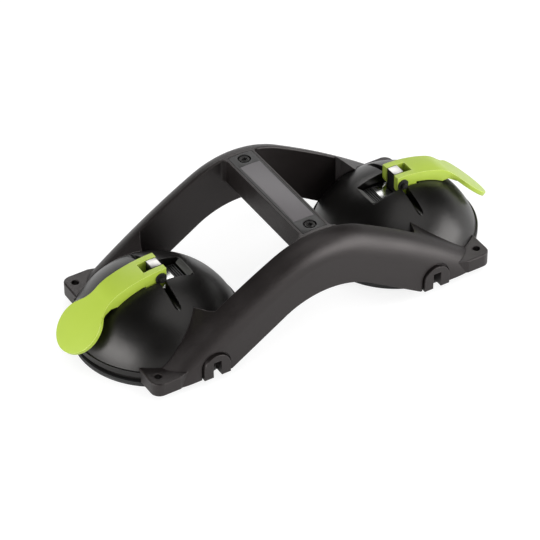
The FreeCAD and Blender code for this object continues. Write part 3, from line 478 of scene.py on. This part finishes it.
def edge_highlight_group():
    """Mask of the painted highlight on the edges, from the eased normal and the true one."""
    name = "Worn edges"
    if name in bpy.data.node_groups:
        return bpy.data.node_groups[name]
    group, enter, leave = group_with(
        name,
        [("Eased", "NodeSocketVector", (0, 0, 1)), ("True", "NodeSocketVector", (0, 0, 1)),
         ("Patchiness", "NodeSocketFloat", 0.5)],
        [("Mask", "NodeSocketFloat")])
    compare = group.nodes.new("ShaderNodeVectorMath")
    compare.operation = "DOT_PRODUCT"
    group.links.new(enter.outputs["Eased"], compare.inputs[0])
    group.links.new(enter.outputs["True"], compare.inputs[1])
    bend = maths(group, "SUBTRACT", 1.0, compare.outputs["Value"])
    place = group.nodes.new("ShaderNodeTexCoord").outputs["Object"]
    edge_shine = noise(group, place, EDGE_HIGHLIGHT_PATCH, 3.0, 0.6)
    uneven = maths(group, "MULTIPLY", maths(group, "SUBTRACT", edge_shine.outputs["Fac"], 0.5),
                   enter.outputs["Patchiness"])
    spread = group.nodes.new("ShaderNodeMapRange")
    spread.inputs["From Min"].default_value = EDGE_HIGHLIGHT_FROM
    spread.inputs["From Max"].default_value = EDGE_HIGHLIGHT_FULL
    group.links.new(bend, spread.inputs["Value"])
    mask = maths(group, "MULTIPLY", spread.outputs["Result"],
                 maths(group, "ADD", uneven, EDGE_HIGHLIGHT_LEVEL))
    mask.node.use_clamp = True
    group.links.new(mask, leave.inputs["Mask"])
    return group


def moulded_plastic(name, colour, grain, roughness, bump, edge, contrast=1.25,
                    gloss_tint=(1, 1, 1), edge_highlight_colour=None):
    """Moulded plastic or rubber: fine grain, slow gloss patches and eased edges painted
    paler as a highlight.
    """
    material, tree, shader = new_material(name)
    pits = use_group(tree, grain_group(), Grains_per_metre=1 / grain, Speck=SPECK)
    marks = use_group(tree, handling_group(), Patch_size=PLASTIC_MARKS)
    tone = maths(tree, "MULTIPLY_ADD",
                 maths(tree, "SUBTRACT", marks.outputs["Mask"], 0.5), MARKS_TONE)
    tree.links.new(pits.outputs["Tone"], tone.node.inputs[2])
    body = blend_colours(tree, tone, tinted(colour, 1 / contrast), tinted(colour, contrast))
    eased = softened_normal(tree, edge)
    edge_shine = use_group(tree, edge_highlight_group())
    tree.links.new(eased, edge_shine.inputs["Eased"])
    tree.links.new(tree.nodes.new("ShaderNodeNewGeometry").outputs["Normal"],
                   edge_shine.inputs["True"])
    # Painted highlight: the rounded edges are drawn in a paler colour
    paler = blend_colours(tree, edge_shine.outputs["Mask"], colour,
                          edge_highlight_colour or tinted(colour, EDGE_HIGHLIGHT_PALER))
    tree.links.new(body, paler.node.inputs[6])
    tree.links.new(paler, shader.inputs["Base Color"])
    tree.links.new(between(tree, marks.outputs["Mask"], roughness - PLASTIC_SWING,
                           roughness + PLASTIC_SWING), shader.inputs["Roughness"])
    relief = tree.nodes.new("ShaderNodeBump")
    relief.inputs["Strength"].default_value = bump
    relief.inputs["Distance"].default_value = grain * GRAIN_DEPTH
    tree.links.new(pits.outputs["Height"], relief.inputs["Height"])
    tree.links.new(eased, relief.inputs["Normal"])
    tree.links.new(relief.outputs["Normal"], shader.inputs["Normal"])
    shader.inputs["Specular Tint"].default_value = (*gloss_tint, 1)
    return material


def metal(name, colour, roughness, metallic=1.0):
    """Plated or black-finished metal with faint lines and uneven gloss; it also makes the
    painted shade on the links' sides.
    """
    material, tree, shader = new_material(name)
    lines = use_group(tree, brushed_group(), Line_width=LINE_WIDTH)
    marks = use_group(tree, handling_group(), Patch_size=METAL_MARKS)
    dark, light = METAL_TONES
    tree.links.new(blend_colours(tree, marks.outputs["Mask"], tinted(colour, dark),
                                 tinted(colour, light)), shader.inputs["Base Color"])
    tree.links.new(between(tree, lines.outputs["Lines"], roughness - METAL_SWING,
                           roughness + METAL_SWING), shader.inputs["Roughness"])
    relief = tree.nodes.new("ShaderNodeBump")
    relief.inputs["Strength"].default_value = LINE_BUMP
    relief.inputs["Distance"].default_value = LINE_DEPTH
    tree.links.new(lines.outputs["Lines"], relief.inputs["Height"])
    tree.links.new(softened_normal(tree, METAL_EASE), relief.inputs["Normal"])
    tree.links.new(relief.outputs["Normal"], shader.inputs["Normal"])
    shader.inputs["Metallic"].default_value = metallic
    return material


def finish_node(node, material):
    """Gives a CAD node its finish."""
    for slot in NODES[node].material_slots:
        slot.material = material


# ------------------------------------------------------------ modelling helpers

def only(piece):
    """Makes one piece the selected and active one."""
    bpy.ops.object.select_all(action="DESELECT")
    piece.select_set(True)
    bpy.context.view_layer.objects.active = piece


def everything(centre, normal):
    """A test that every face passes."""
    return True


def pick(piece, wanted):
    """Selects just the faces whose centre and normal pass a test."""
    mesh = piece.data
    for parts in (mesh.vertices, mesh.edges, mesh.polygons):
        parts.foreach_set("select", [False] * len(parts))
    for face in mesh.polygons:
        face.select = wanted(face.center, face.normal)


def edit(piece, wanted, *steps):
    """Picks faces of a piece and runs edit-mode steps on them."""
    only(piece)
    pick(piece, wanted)
    bpy.ops.object.mode_set(mode="EDIT")
    for operator, values in steps:
        operator(**values)
    bpy.ops.object.mode_set(mode="OBJECT")


def edit_points(piece, wanted, *steps):
    """Picks points of a piece by a test on their place and runs edit-mode steps on them."""
    tools = bpy.context.tool_settings
    tools.mesh_select_mode = (True, False, False)
    only(piece)
    pick(piece, lambda centre, normal: False)
    for vertex in piece.data.vertices:
        vertex.select = wanted(vertex.co)
    bpy.ops.object.mode_set(mode="EDIT")
    for operator, values in steps:
        operator(**values)
    bpy.ops.object.mode_set(mode="OBJECT")
    tools.mesh_select_mode = (False, False, True)


def rings(profile):
    """Inset steps that build a profile from a face: each is how far in and how far out."""
    return [(bpy.ops.mesh.inset, {"thickness": inward, "depth": outward})
            for inward, outward in profile]


def facing(x=None, y=None, z=None):
    """A test for faces that look along an axis."""

    def test(centre, normal):
        return all(want is None or abs(have - want) < 0.01
                   for want, have in zip((x, y, z), normal))
    return test


def modifier(piece, kind, **values):
    """Adds a modifier with its values and applies it."""
    only(piece)
    added = piece.modifiers.new(kind.title(), kind)
    for name, value in values.items():
        setattr(added, name, value)
    bpy.ops.object.modifier_apply(modifier=added.name)


def settle(piece, name, angle=35):
    """Applies a piece's place, turns its faces outwards and smooths its gentle edges."""
    piece.name = name
    piece.data.name = name
    only(piece)
    bpy.ops.object.transform_apply(location=True, rotation=True, scale=True)
    edit(piece, everything, (bpy.ops.mesh.normals_make_consistent, {"inside": False}))
    bpy.ops.object.shade_smooth_by_angle(angle=math.radians(angle))
    return piece


def eased_copy(node, name, radius, sharper_than=38, segments=3):
    """A copy of a CAD node, merged and with its sharp edges rounded."""
    piece = bpy.data.objects.new(name, NODES[node].data.copy())
    bpy.context.scene.collection.objects.link(piece)
    edit(piece, everything,
         (bpy.ops.mesh.remove_doubles, {"threshold": MERGE_WITHIN}),
         (bpy.ops.mesh.dissolve_limited, {"angle_limit": FLAT_WITHIN}))
    piece.data.materials.append(None)
    modifier(piece, "BEVEL", width=radius, segments=segments, limit_method="ANGLE",
             angle_limit=math.radians(sharper_than), miter_outer="MITER_ARC",
             material=EDGE_SLOT)
    only(piece)
    piece.name = name
    piece.data.name = name
    bpy.ops.object.shade_smooth_by_angle(angle=math.radians(35))
    return piece


def twin(piece, name, move=(0, 0, 0), flip=False):
    """A copy with its own mesh, moved along or flipped across the lifter's middle."""
    other = bpy.data.objects.new(name, piece.data.copy())
    bpy.context.scene.collection.objects.link(other)
    other.location = move
    if flip:
        other.scale.x = -1
    return settle(other, name)


def dress(piece, material, body, slot, *nodes, second=None):
    """Finishes a piece, ties it to its body and hides the CAD nodes it stands for; the slot
    is not used.
    """
    numbers = [face.material_index for face in piece.data.polygons]
    piece.data.materials.clear()
    piece.data.materials.append(material)
    if second:
        piece.data.materials.append(second)
        piece.data.polygons.foreach_set("material_index", numbers)
    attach(piece, body)
    if nodes:
        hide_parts(*nodes)
    return piece


# ------------------------------------------------------------ operators

class LIFTER_OT_frame(bpy.types.Operator):
    """Finishes the arched frame and the bells"""

    bl_idname = "lifter.frame"
    bl_label = "Frame and bells"

    def execute(self, context):
        colours = context.scene.lifter_colours
        sizes = context.scene.lifter_sizes
        # The frame's edges take a colour four times paler, a painted highlight line
        finish_node("frame", moulded_plastic(
            "Frame plastic", colours.frame, sizes.grain, roughness=0.38, bump=0.6,
            edge=sizes.moulded_edge * 1.4, gloss_tint=(1.0, 0.93, 0.92),
            edge_highlight_colour=tinted(colours.frame, 4)))
        bell = moulded_plastic(
            "Bell plastic", colours.bell, sizes.fine_grain, roughness=0.32, bump=0.3,
            edge=sizes.moulded_edge, gloss_tint=(1.0, 0.97, 0.95))
        for side in SIDES:
            finish_node(side + "_bell", bell)
        return {"FINISHED"}


class LIFTER_OT_grip(bpy.types.Operator):
    """Models the strip, the bare panel and the two screws let into the grip"""

    bl_idname = "lifter.grip"
    bl_label = "Grip strip, panel and screws"

    def execute(self, context):
        colours = context.scene.lifter_colours
        sizes = context.scene.lifter_sizes
        strip_plastic = moulded_plastic(
            "Strip plastic", colours.cover, sizes.fine_grain, roughness=0.45, bump=0.4,
            edge=sizes.moulded_edge / 2)
        # The panel's pale edge colour is a painted highlight
        bare = moulded_plastic(
            "Bare panel", colours.label, sizes.fine_grain, roughness=0.42, bump=0.12,
            edge=sizes.moulded_edge / 3, edge_highlight_colour=(0.2, 0.19, 0.2))
        strip = eased_copy("handle_cover", "grip_strip", sizes.trim_edge)
        dress(strip, strip_plastic, "root", "cover_plastic", "handle_cover")
        panel = eased_copy("label_plate", "grip_panel", sizes.trim_edge, segments=2)
        dress(panel, bare, "root", "label", "label_plate")
        low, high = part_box("handle_screws")
        radius = high[0]
        black = metal("Blackened screw", colours.blackened_and_shade, 0.34, metallic=0.85)
        near = socket_screw("grip_screw_near", (0, low[1] + radius), radius, low[2],
                            high[2])
        dress(near, black, "root", "screw_steel", "handle_screws")
        far = twin(near, "grip_screw_far", (0, high[1] - low[1] - radius * 2, 0))
        dress(far, black, "root", "screw_steel", "handle_screws")
        return {"FINISHED"}


def socket_screw(name, place, radius, bottom, top):
    """A pan head with a raised lip round its six-lobed socket, and a plain shank."""
    bpy.ops.object.select_all(action="DESELECT")
    head = radius * HEAD_DEPTH
    bpy.ops.mesh.primitive_cylinder_add(
        vertices=SCREW_FACES, radius=radius, depth=head,
        location=(*place, top - head / 2))
    screw = bpy.context.object
    bpy.ops.object.transform_apply(location=True)
    rim = radius * HEAD_RIM
    socket = radius * SOCKET
    lip = radius * SOCKET_LIP
    edit(screw, facing(z=1), *rings([
        (rim, 0), (radius - rim - socket - lip * 2, -lip * 0.5),
        (lip * 0.4, lip), (lip * 0.9, 0), (lip * 0.5, -lip),
        (lip * 0.2, -head * SOCKET_DEPTH)]))

    def hollow(point):
        offset = point.xy - Vector(place)
        lobe = math.atan2(offset.y, offset.x) * LOBES
        return (offset.length < socket * SOCKET_REACH
                and point.z > top - head * SOCKET_FLOOR
                and math.cos(lobe) < HOLLOW_FROM)
    edit_points(screw, hollow, (bpy.ops.transform.resize, {
        "value": (HOLLOW_KEEP, HOLLOW_KEEP, 1), "center_override": (*place, top)}))
    tip = radius * SHANK_TIP
    edit(screw, facing(z=-1), *rings([
        (radius * (1 - SHANK), 0), (0, top - head - bottom - tip), (tip, tip)]))
    modifier(screw, "BEVEL", width=radius * SCREW_EASE, segments=2,
             limit_method="ANGLE", angle_limit=math.radians(50))
    return settle(screw, name)


class LIFTER_OT_levers(bpy.types.Operator):
    """Models the two lime levers with rounded edges"""

    bl_idname = "lifter.levers"
    bl_label = "Levers"

    def execute(self, context):
        colours = context.scene.lifter_colours
        sizes = context.scene.lifter_sizes
        # The lime's pale edge colour is a painted highlight along the levers' edges
        lime = moulded_plastic(
            "Lever plastic", colours.lever, sizes.fine_grain, roughness=0.38, bump=0.25,
            edge=sizes.moulded_edge / 2, contrast=1.06, edge_highlight_colour=(0.72, 0.80, 0.22))
        # Paler lime for the bevelled edges: a painted highlight
        pale = moulded_plastic(
            "Lever edge", colours.lever_edge, sizes.fine_grain, roughness=0.34, bump=0.2,
            edge=sizes.moulded_edge / 2, contrast=1.06)
        for side in SIDES:
            lever = eased_copy(side + "_lever", side + "_lever_moulding", sizes.lever_edge)
            dress(lever, lime, side + "_arm", "lever_plastic", side + "_lever",
                  second=pale)
        return {"FINISHED"}


class LIFTER_OT_wells(bpy.types.Operator):
    """Models the grey pad and the ribbed strip in each bell's well"""

    bl_idname = "lifter.wells"
    bl_label = "Well pads"

    def execute(self, context):
        colours = context.scene.lifter_colours
        sizes = context.scene.lifter_sizes
        # The pad's pale edge colour is a painted highlight
        grey = moulded_plastic(
            "Slope pad", colours.slope_pad, sizes.fine_grain, roughness=0.7, bump=0.4,
            edge=sizes.moulded_edge / 3, edge_highlight_colour=(0.22, 0.22, 0.21))
        dark = moulded_plastic(
            "Well strip", colours.rubber, sizes.fine_grain, roughness=0.5, bump=0.3,
            edge=sizes.moulded_edge / 3)
        pad = slope_pad("left_slope_pad")
        strip = well_strip("left_well_strip")
        dress(pad, grey, "root", "cover_plastic")
        dress(strip, dark, "root", "bell_plastic")
        dress(twin(pad, "right_slope_pad", flip=True), grey, "root", "cover_plastic")
        dress(twin(strip, "right_well_strip", flip=True), dark, "root", "bell_plastic")
        return {"FINISHED"}


def slope_pad(name):
    """A rounded grey pad that lies on the slope at the inboard end of the left well."""
    length, width, thick = SLOPE_PAD
    slope = math.atan(1 / WELL_RUN)
    along = SLOPE_PAD_GAP + length / 2
    x = CUP_X["left"] + WELL_FOOT + along * math.cos(slope)
    z = WELL_STEP + along * math.sin(slope)
    bpy.ops.object.select_all(action="DESELECT")
    bpy.ops.mesh.primitive_plane_add(size=1, location=(x, 0, z), rotation=(0, -slope, 0))
    pad = bpy.context.object
    pad.scale = (length, width, 1)
    bpy.ops.object.transform_apply(location=True, rotation=True, scale=True)
    edit(pad, everything, (bpy.ops.mesh.bevel, {
        "affect": "VERTICES", "offset": SLOPE_PAD_CORNER, "segments": 4}))
    modifier(pad, "SOLIDIFY", thickness=thick, offset=1)
    edit(pad, lambda centre, normal: normal.z > SLOPE_PAD_TOP, *rings(SLOPE_PAD_BORDER))
    return settle(pad, name, 25)


def well_strip(name):
    """A ribbed strip on the left well's floor, between the bearing plate and the slope."""
    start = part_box("left_bearing_plate")[1][0] + STRIP_GAP
    end = CUP_X["left"] + WELL_FOOT - STRIP_GAP
    band = (end - start) / STRIP_BANDS
    bpy.ops.object.select_all(action="DESELECT")
    bpy.ops.mesh.primitive_cube_add(
        size=1, location=((start + end) / 2, 0, WELL_FLOOR + STRIP_THICK / 2),
        scale=(end - start, STRIP_WIDTH, STRIP_THICK))
    strip = bpy.context.object
    bpy.ops.object.transform_apply(location=True, rotation=True, scale=True)
    for number in range(1, STRIP_BANDS):
        edit(strip, everything, (bpy.ops.mesh.bisect, {
            "plane_co": (start + band * number, 0, 0), "plane_no": (1, 0, 0)}))

    def rib_top(centre, normal):
        return normal.z > 0.9 and int((centre.x - start) / band) % 2 == 0
    edit(strip, rib_top, *rings(STRIP_RIB))
    return settle(strip, name)


class LIFTER_OT_metal(bpy.types.Operator):
    """Models the links and bearing plates and finishes pins, plates, springs and rivets"""

    bl_idname = "lifter.metal"
    bl_label = "Metal parts"

    def execute(self, context):
        colours = context.scene.lifter_colours
        sizes = context.scene.lifter_sizes
        ground = metal("Ground link top", colours.link, 0.30)
        link_side_shade = metal("Dark casting", colours.blackened_and_shade, 0.45, metallic=0.7)
        steel = metal("Plated steel", colours.steel, 0.32)
        bright = metal("Bright strip", tinted(colours.steel, 1.15), 0.25)
        black = metal("Blackened steel", colours.blackened_and_shade, 0.4, metallic=0.6)
        brass = metal("Brass", colours.brass, 0.3)
        for side in SIDES:
            # Top faces keep the links' pale metal; all other faces, the sides, take painted
            # shade in the dark steel colour
            link = eased_copy(side + "_pull_link", side + "_link_casting", sizes.metal_edge)
            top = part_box(side + "_pull_link")[1][2]
            for face in link.data.polygons:
                face.material_index = int(face.center.z > top - sizes.metal_edge * 1.5)
            dress(link, link_side_shade, side + "_plunger", "link_zinc", side + "_pull_link",
                  second=ground)
            dress(eased_copy(side + "_bearing_plate", side + "_bearing_strip",
                             sizes.metal_edge, segments=2),
                  bright, "root", "bearing_steel", side + "_bearing_plate")
            finish_node(side + "_pin_rings", black)
            finish_node(side + "_pivot_pin", black)
            for name in ("pressure_plate", "link_rivets", "return_spring", "bell_screws"):
                finish_node(side + "_" + name, steel)
        finish_node("handle_inserts", brass)
        return {"FINISHED"}


class LIFTER_OT_pads(bpy.types.Operator):
    """Models the two rubber pads with their sealing lips"""

    bl_idname = "lifter.pads"
    bl_label = "Suction pads"

    def execute(self, context):
        colours = context.scene.lifter_colours
        sizes = context.scene.lifter_sizes
        rubber = moulded_plastic(
            "Pad rubber", colours.rubber, sizes.fine_grain, roughness=0.55, bump=0.2,
            edge=sizes.moulded_edge / 2, contrast=1.3)
        left = rubber_pad("left_rubber_pad")
        right = twin(left, "right_rubber_pad", flip=True)
        for side, pad in zip(SIDES, (left, right)):
            dress(pad, rubber, "root", "pad_rubber", side + "_suction_pad")
            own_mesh(pad)
        return {"FINISHED"}


def rubber_pad(name):
    """The left pad: grooved sealing lip, hollow crown and boss under the pressure plate."""
    low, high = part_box("left_suction_pad")
    radius = (high[0] - low[0]) / 2
    axis = Vector((CUP_X["left"], 0))
    bpy.ops.object.select_all(action="DESELECT")
    bpy.ops.mesh.primitive_cylinder_add(
        vertices=PAD_FACES, radius=radius, depth=PAD_RIM, location=(*axis, PAD_RIM / 2))
    pad = bpy.context.object
    bpy.ops.object.transform_apply(location=True)
    lip = [step for flat in LIP_FLATS for step in ((flat, 0), *LIP_GROOVE)]
    rest = PAD_LIP - sum(inward for inward, outward in lip)
    edit(pad, facing(z=-1), *rings([*lip, (rest, 0), *CROWN_STEPS]))
    outer, deep, inner = GUTTER
    back = profile_steps([
        (radius, PAD_RIM), (outer, PAD_RIM), (deep, PAD_RIM - GUTTER_DEPTH),
        (inner, PAD_RIM), (radius - PAD_LIP, PAD_RIM), *PAD_BACK, (PAD_BOSS, high[2])])
    edit(pad, facing(z=1), *rings(back))

    def rim_face(centre, normal):
        return (abs(normal.z) < 0.1 and centre.z > 0
                and (centre.xy - axis).length > radius * 0.99)
    edit(pad, rim_face, *rings(RIM_LINE))
    modifier(pad, "BEVEL", width=PAD_EASE, segments=2, limit_method="ANGLE",
             angle_limit=math.radians(40))
    return settle(pad, name)


def profile_steps(points):
    """Turns a list of radius and height into steps of how far in and how far out."""
    return [(start[0] - end[0], end[1] - start[1])
            for start, end in zip(points, points[1:])]


class LIFTER_OT_stage(bpy.types.Operator):
    """Sets up the floor, the lamps, the world and the camera"""

    bl_idname = "lifter.stage"
    bl_label = "Studio"

    def execute(self, context):
        studio = context.scene.lifter_studio
        make_floor(studio)
        make_world(studio)
        for name, setting, direction, size in LAMPS:
            make_lamp(name, getattr(studio, setting), direction, size, studio)
        make_camera(context.scene, studio)
        return {"FINISHED"}


def seen_directly(tree, mirror_share=1.0):
    """1 for camera rays, a share for mirror images, 0 for the light that falls on things."""
    path = tree.nodes.new("ShaderNodeLightPath")
    mirrored = maths(tree, "MAXIMUM", path.outputs["Is Glossy Ray"],
                     path.outputs["Is Transmission Ray"])
    return maths(tree, "MAXIMUM", path.outputs["Is Camera Ray"],
                 maths(tree, "MULTIPLY", mirrored, mirror_share))


def make_floor(studio):
    """A white floor that keeps the lifter's shadow."""
    bpy.ops.object.select_all(action="DESELECT")
    bpy.ops.mesh.primitive_plane_add(size=FLOOR_WIDTH, location=(0, 0, 0))
    floor = bpy.context.object
    floor.name = "studio_floor"
    material, tree, shader = new_material("Studio floor")
    shader.inputs["Base Color"].default_value = (FLOOR_GREY,) * 3 + (1,)
    shader.inputs["Roughness"].default_value = FLOOR_ROUGHNESS
    pale = tree.nodes.new("ShaderNodeBsdfDiffuse")
    pale.inputs["Color"].default_value = (FLOOR_SHOWN,) * 3 + (1,)
    glow = tree.nodes.new("ShaderNodeEmission")
    glow.inputs["Strength"].default_value = studio.backdrop * FLOOR_GLOW
    shown = tree.nodes.new("ShaderNodeAddShader")
    tree.links.new(pale.outputs[0], shown.inputs[0])
    tree.links.new(glow.outputs[0], shown.inputs[1])
    choose = tree.nodes.new("ShaderNodeMixShader")
    tree.links.new(seen_directly(tree, MIRROR_FLOOR), choose.inputs[0])
    tree.links.new(shader.outputs[0], choose.inputs[1])
    tree.links.new(shown.outputs[0], choose.inputs[2])
    tree.links.new(choose.outputs[0], tree.nodes["Material Output"].inputs["Surface"])
    floor.data.materials.append(material)


def make_world(studio):
    """A dim room with a white backdrop round it that the camera and mirror images see."""
    world = bpy.data.worlds.new("Studio room")
    bpy.context.scene.world = world
    world.use_nodes = True
    tree = world.node_tree
    room = tree.nodes["Background"]
    room.inputs["Color"].default_value = (1, 1, 1, 1)
    scattered = tree.nodes.new("ShaderNodeLightPath").outputs["Is Diffuse Ray"]
    tree.links.new(between(tree, scattered, studio.dark, studio.sky),
                   room.inputs["Strength"])
    white = tree.nodes.new("ShaderNodeBackground")
    white.inputs["Color"].default_value = (1, 1, 1, 1)
    white.inputs["Strength"].default_value = studio.backdrop
    height = tree.nodes.new("ShaderNodeSeparateXYZ")
    skyward = tree.nodes.new("ShaderNodeTexCoord").outputs["Generated"]
    tree.links.new(skyward, height.inputs[0])
    fade = tree.nodes.new("ShaderNodeMapRange")
    fade.inputs["From Min"].default_value = BACKDROP_FULL
    fade.inputs["From Max"].default_value = BACKDROP_GONE
    fade.inputs["To Min"].default_value = 1
    fade.inputs["To Max"].default_value = 0
    tree.links.new(height.outputs["Z"], fade.inputs["Value"])
    choose = tree.nodes.new("ShaderNodeMixShader")
    tree.links.new(maths(tree, "MULTIPLY", seen_directly(tree), fade.outputs["Result"]),
                   choose.inputs[0])
    tree.links.new(room.outputs[0], choose.inputs[1])
    tree.links.new(white.outputs[0], choose.inputs[2])
    tree.links.new(choose.outputs[0], tree.nodes["World Output"].inputs["Surface"])


def make_lamp(name, power, direction, size, studio):
    """A wide soft lamp that faces the camera's target from one direction."""
    target = Vector(studio.target)
    place = target + Vector(direction).normalized() * studio.reach
    light = bpy.data.lights.new(name, "AREA")
    light.energy = power
    light.shape = "RECTANGLE"
    light.size, light.size_y = size
    lamp = bpy.data.objects.new(name, light)
    lamp.location = place
    lamp.rotation_euler = (place - target).to_track_quat("Z", "Y").to_euler()
    bpy.context.scene.collection.objects.link(lamp)


def make_camera(scene, studio):
    """A level camera turned about the lifter, then rolled a little."""
    data = bpy.data.cameras.new("Camera")
    data.sensor_width = SENSOR_WIDTH
    data.lens = studio.lens
    data.clip_end = SIGHT
    camera = bpy.data.objects.new("Camera", data)
    back = Vector((math.sin(studio.azimuth) * math.cos(studio.elevation),
                   -math.cos(studio.azimuth) * math.cos(studio.elevation),
                   math.sin(studio.elevation)))
    level = Vector((math.cos(studio.azimuth), math.sin(studio.azimuth), 0))
    up = back.cross(level)
    right = level * math.cos(studio.roll) + up * math.sin(studio.roll)
    up = back.cross(right)
    turn = Matrix((right, up, back)).transposed().to_4x4()
    camera.matrix_world = Matrix.Translation(
        Vector(studio.target) + back * studio.distance) @ turn
    scene.collection.objects.link(camera)
    scene.camera = camera


# ------------------------------------------------------------ panel and registration

class LIFTER_PT_panel(bpy.types.Panel):
    """Lists the lifter's settings and its pieces."""

    bl_label = "Suction lifter"
    bl_idname = "LIFTER_PT_panel"
    bl_space_type = "VIEW_3D"
    bl_region_type = "UI"
    bl_category = "Lifter"

    def draw(self, context):
        for group in (context.scene.lifter_colours, context.scene.lifter_sizes,
                      context.scene.lifter_studio):
            box = self.layout.box()
            for name in group.__annotations__:
                box.prop(group, name)
        for operator in PIECES:
            self.layout.operator(operator.bl_idname)


PIECES = (
    LIFTER_OT_frame, LIFTER_OT_grip, LIFTER_OT_levers, LIFTER_OT_wells, LIFTER_OT_metal,
    LIFTER_OT_pads, LIFTER_OT_stage)
SETTINGS = {
    "lifter_colours": LifterColours,
    "lifter_sizes": LifterSizes,
    "lifter_studio": LifterStudio,
}


def register():
    """Adds the settings, the pieces and the panel."""
    for kind in (*SETTINGS.values(), *PIECES, LIFTER_PT_panel):
        bpy.utils.register_class(kind)
    for name, kind in SETTINGS.items():
        setattr(bpy.types.Scene, name, bpy.props.PointerProperty(type=kind))


def unregister():
    """Takes the settings, the pieces and the panel away again."""
    for name in SETTINGS:
        delattr(bpy.types.Scene, name)
    for kind in (LIFTER_PT_panel, *reversed(PIECES), *SETTINGS.values()):
        bpy.utils.unregister_class(kind)


def main():
    """Builds every piece in order, then the studio."""
    register()
    bpy.context.scene.view_settings.view_transform = "Standard"
    bpy.context.tool_settings.mesh_select_mode = (False, False, True)
    bpy.ops.lifter.frame()
    bpy.ops.lifter.grip()
    bpy.ops.lifter.levers()
    bpy.ops.lifter.wells()
    bpy.ops.lifter.metal()
    bpy.ops.lifter.pads()
    bpy.ops.lifter.stage()


if __name__ == "__main__":
    main()
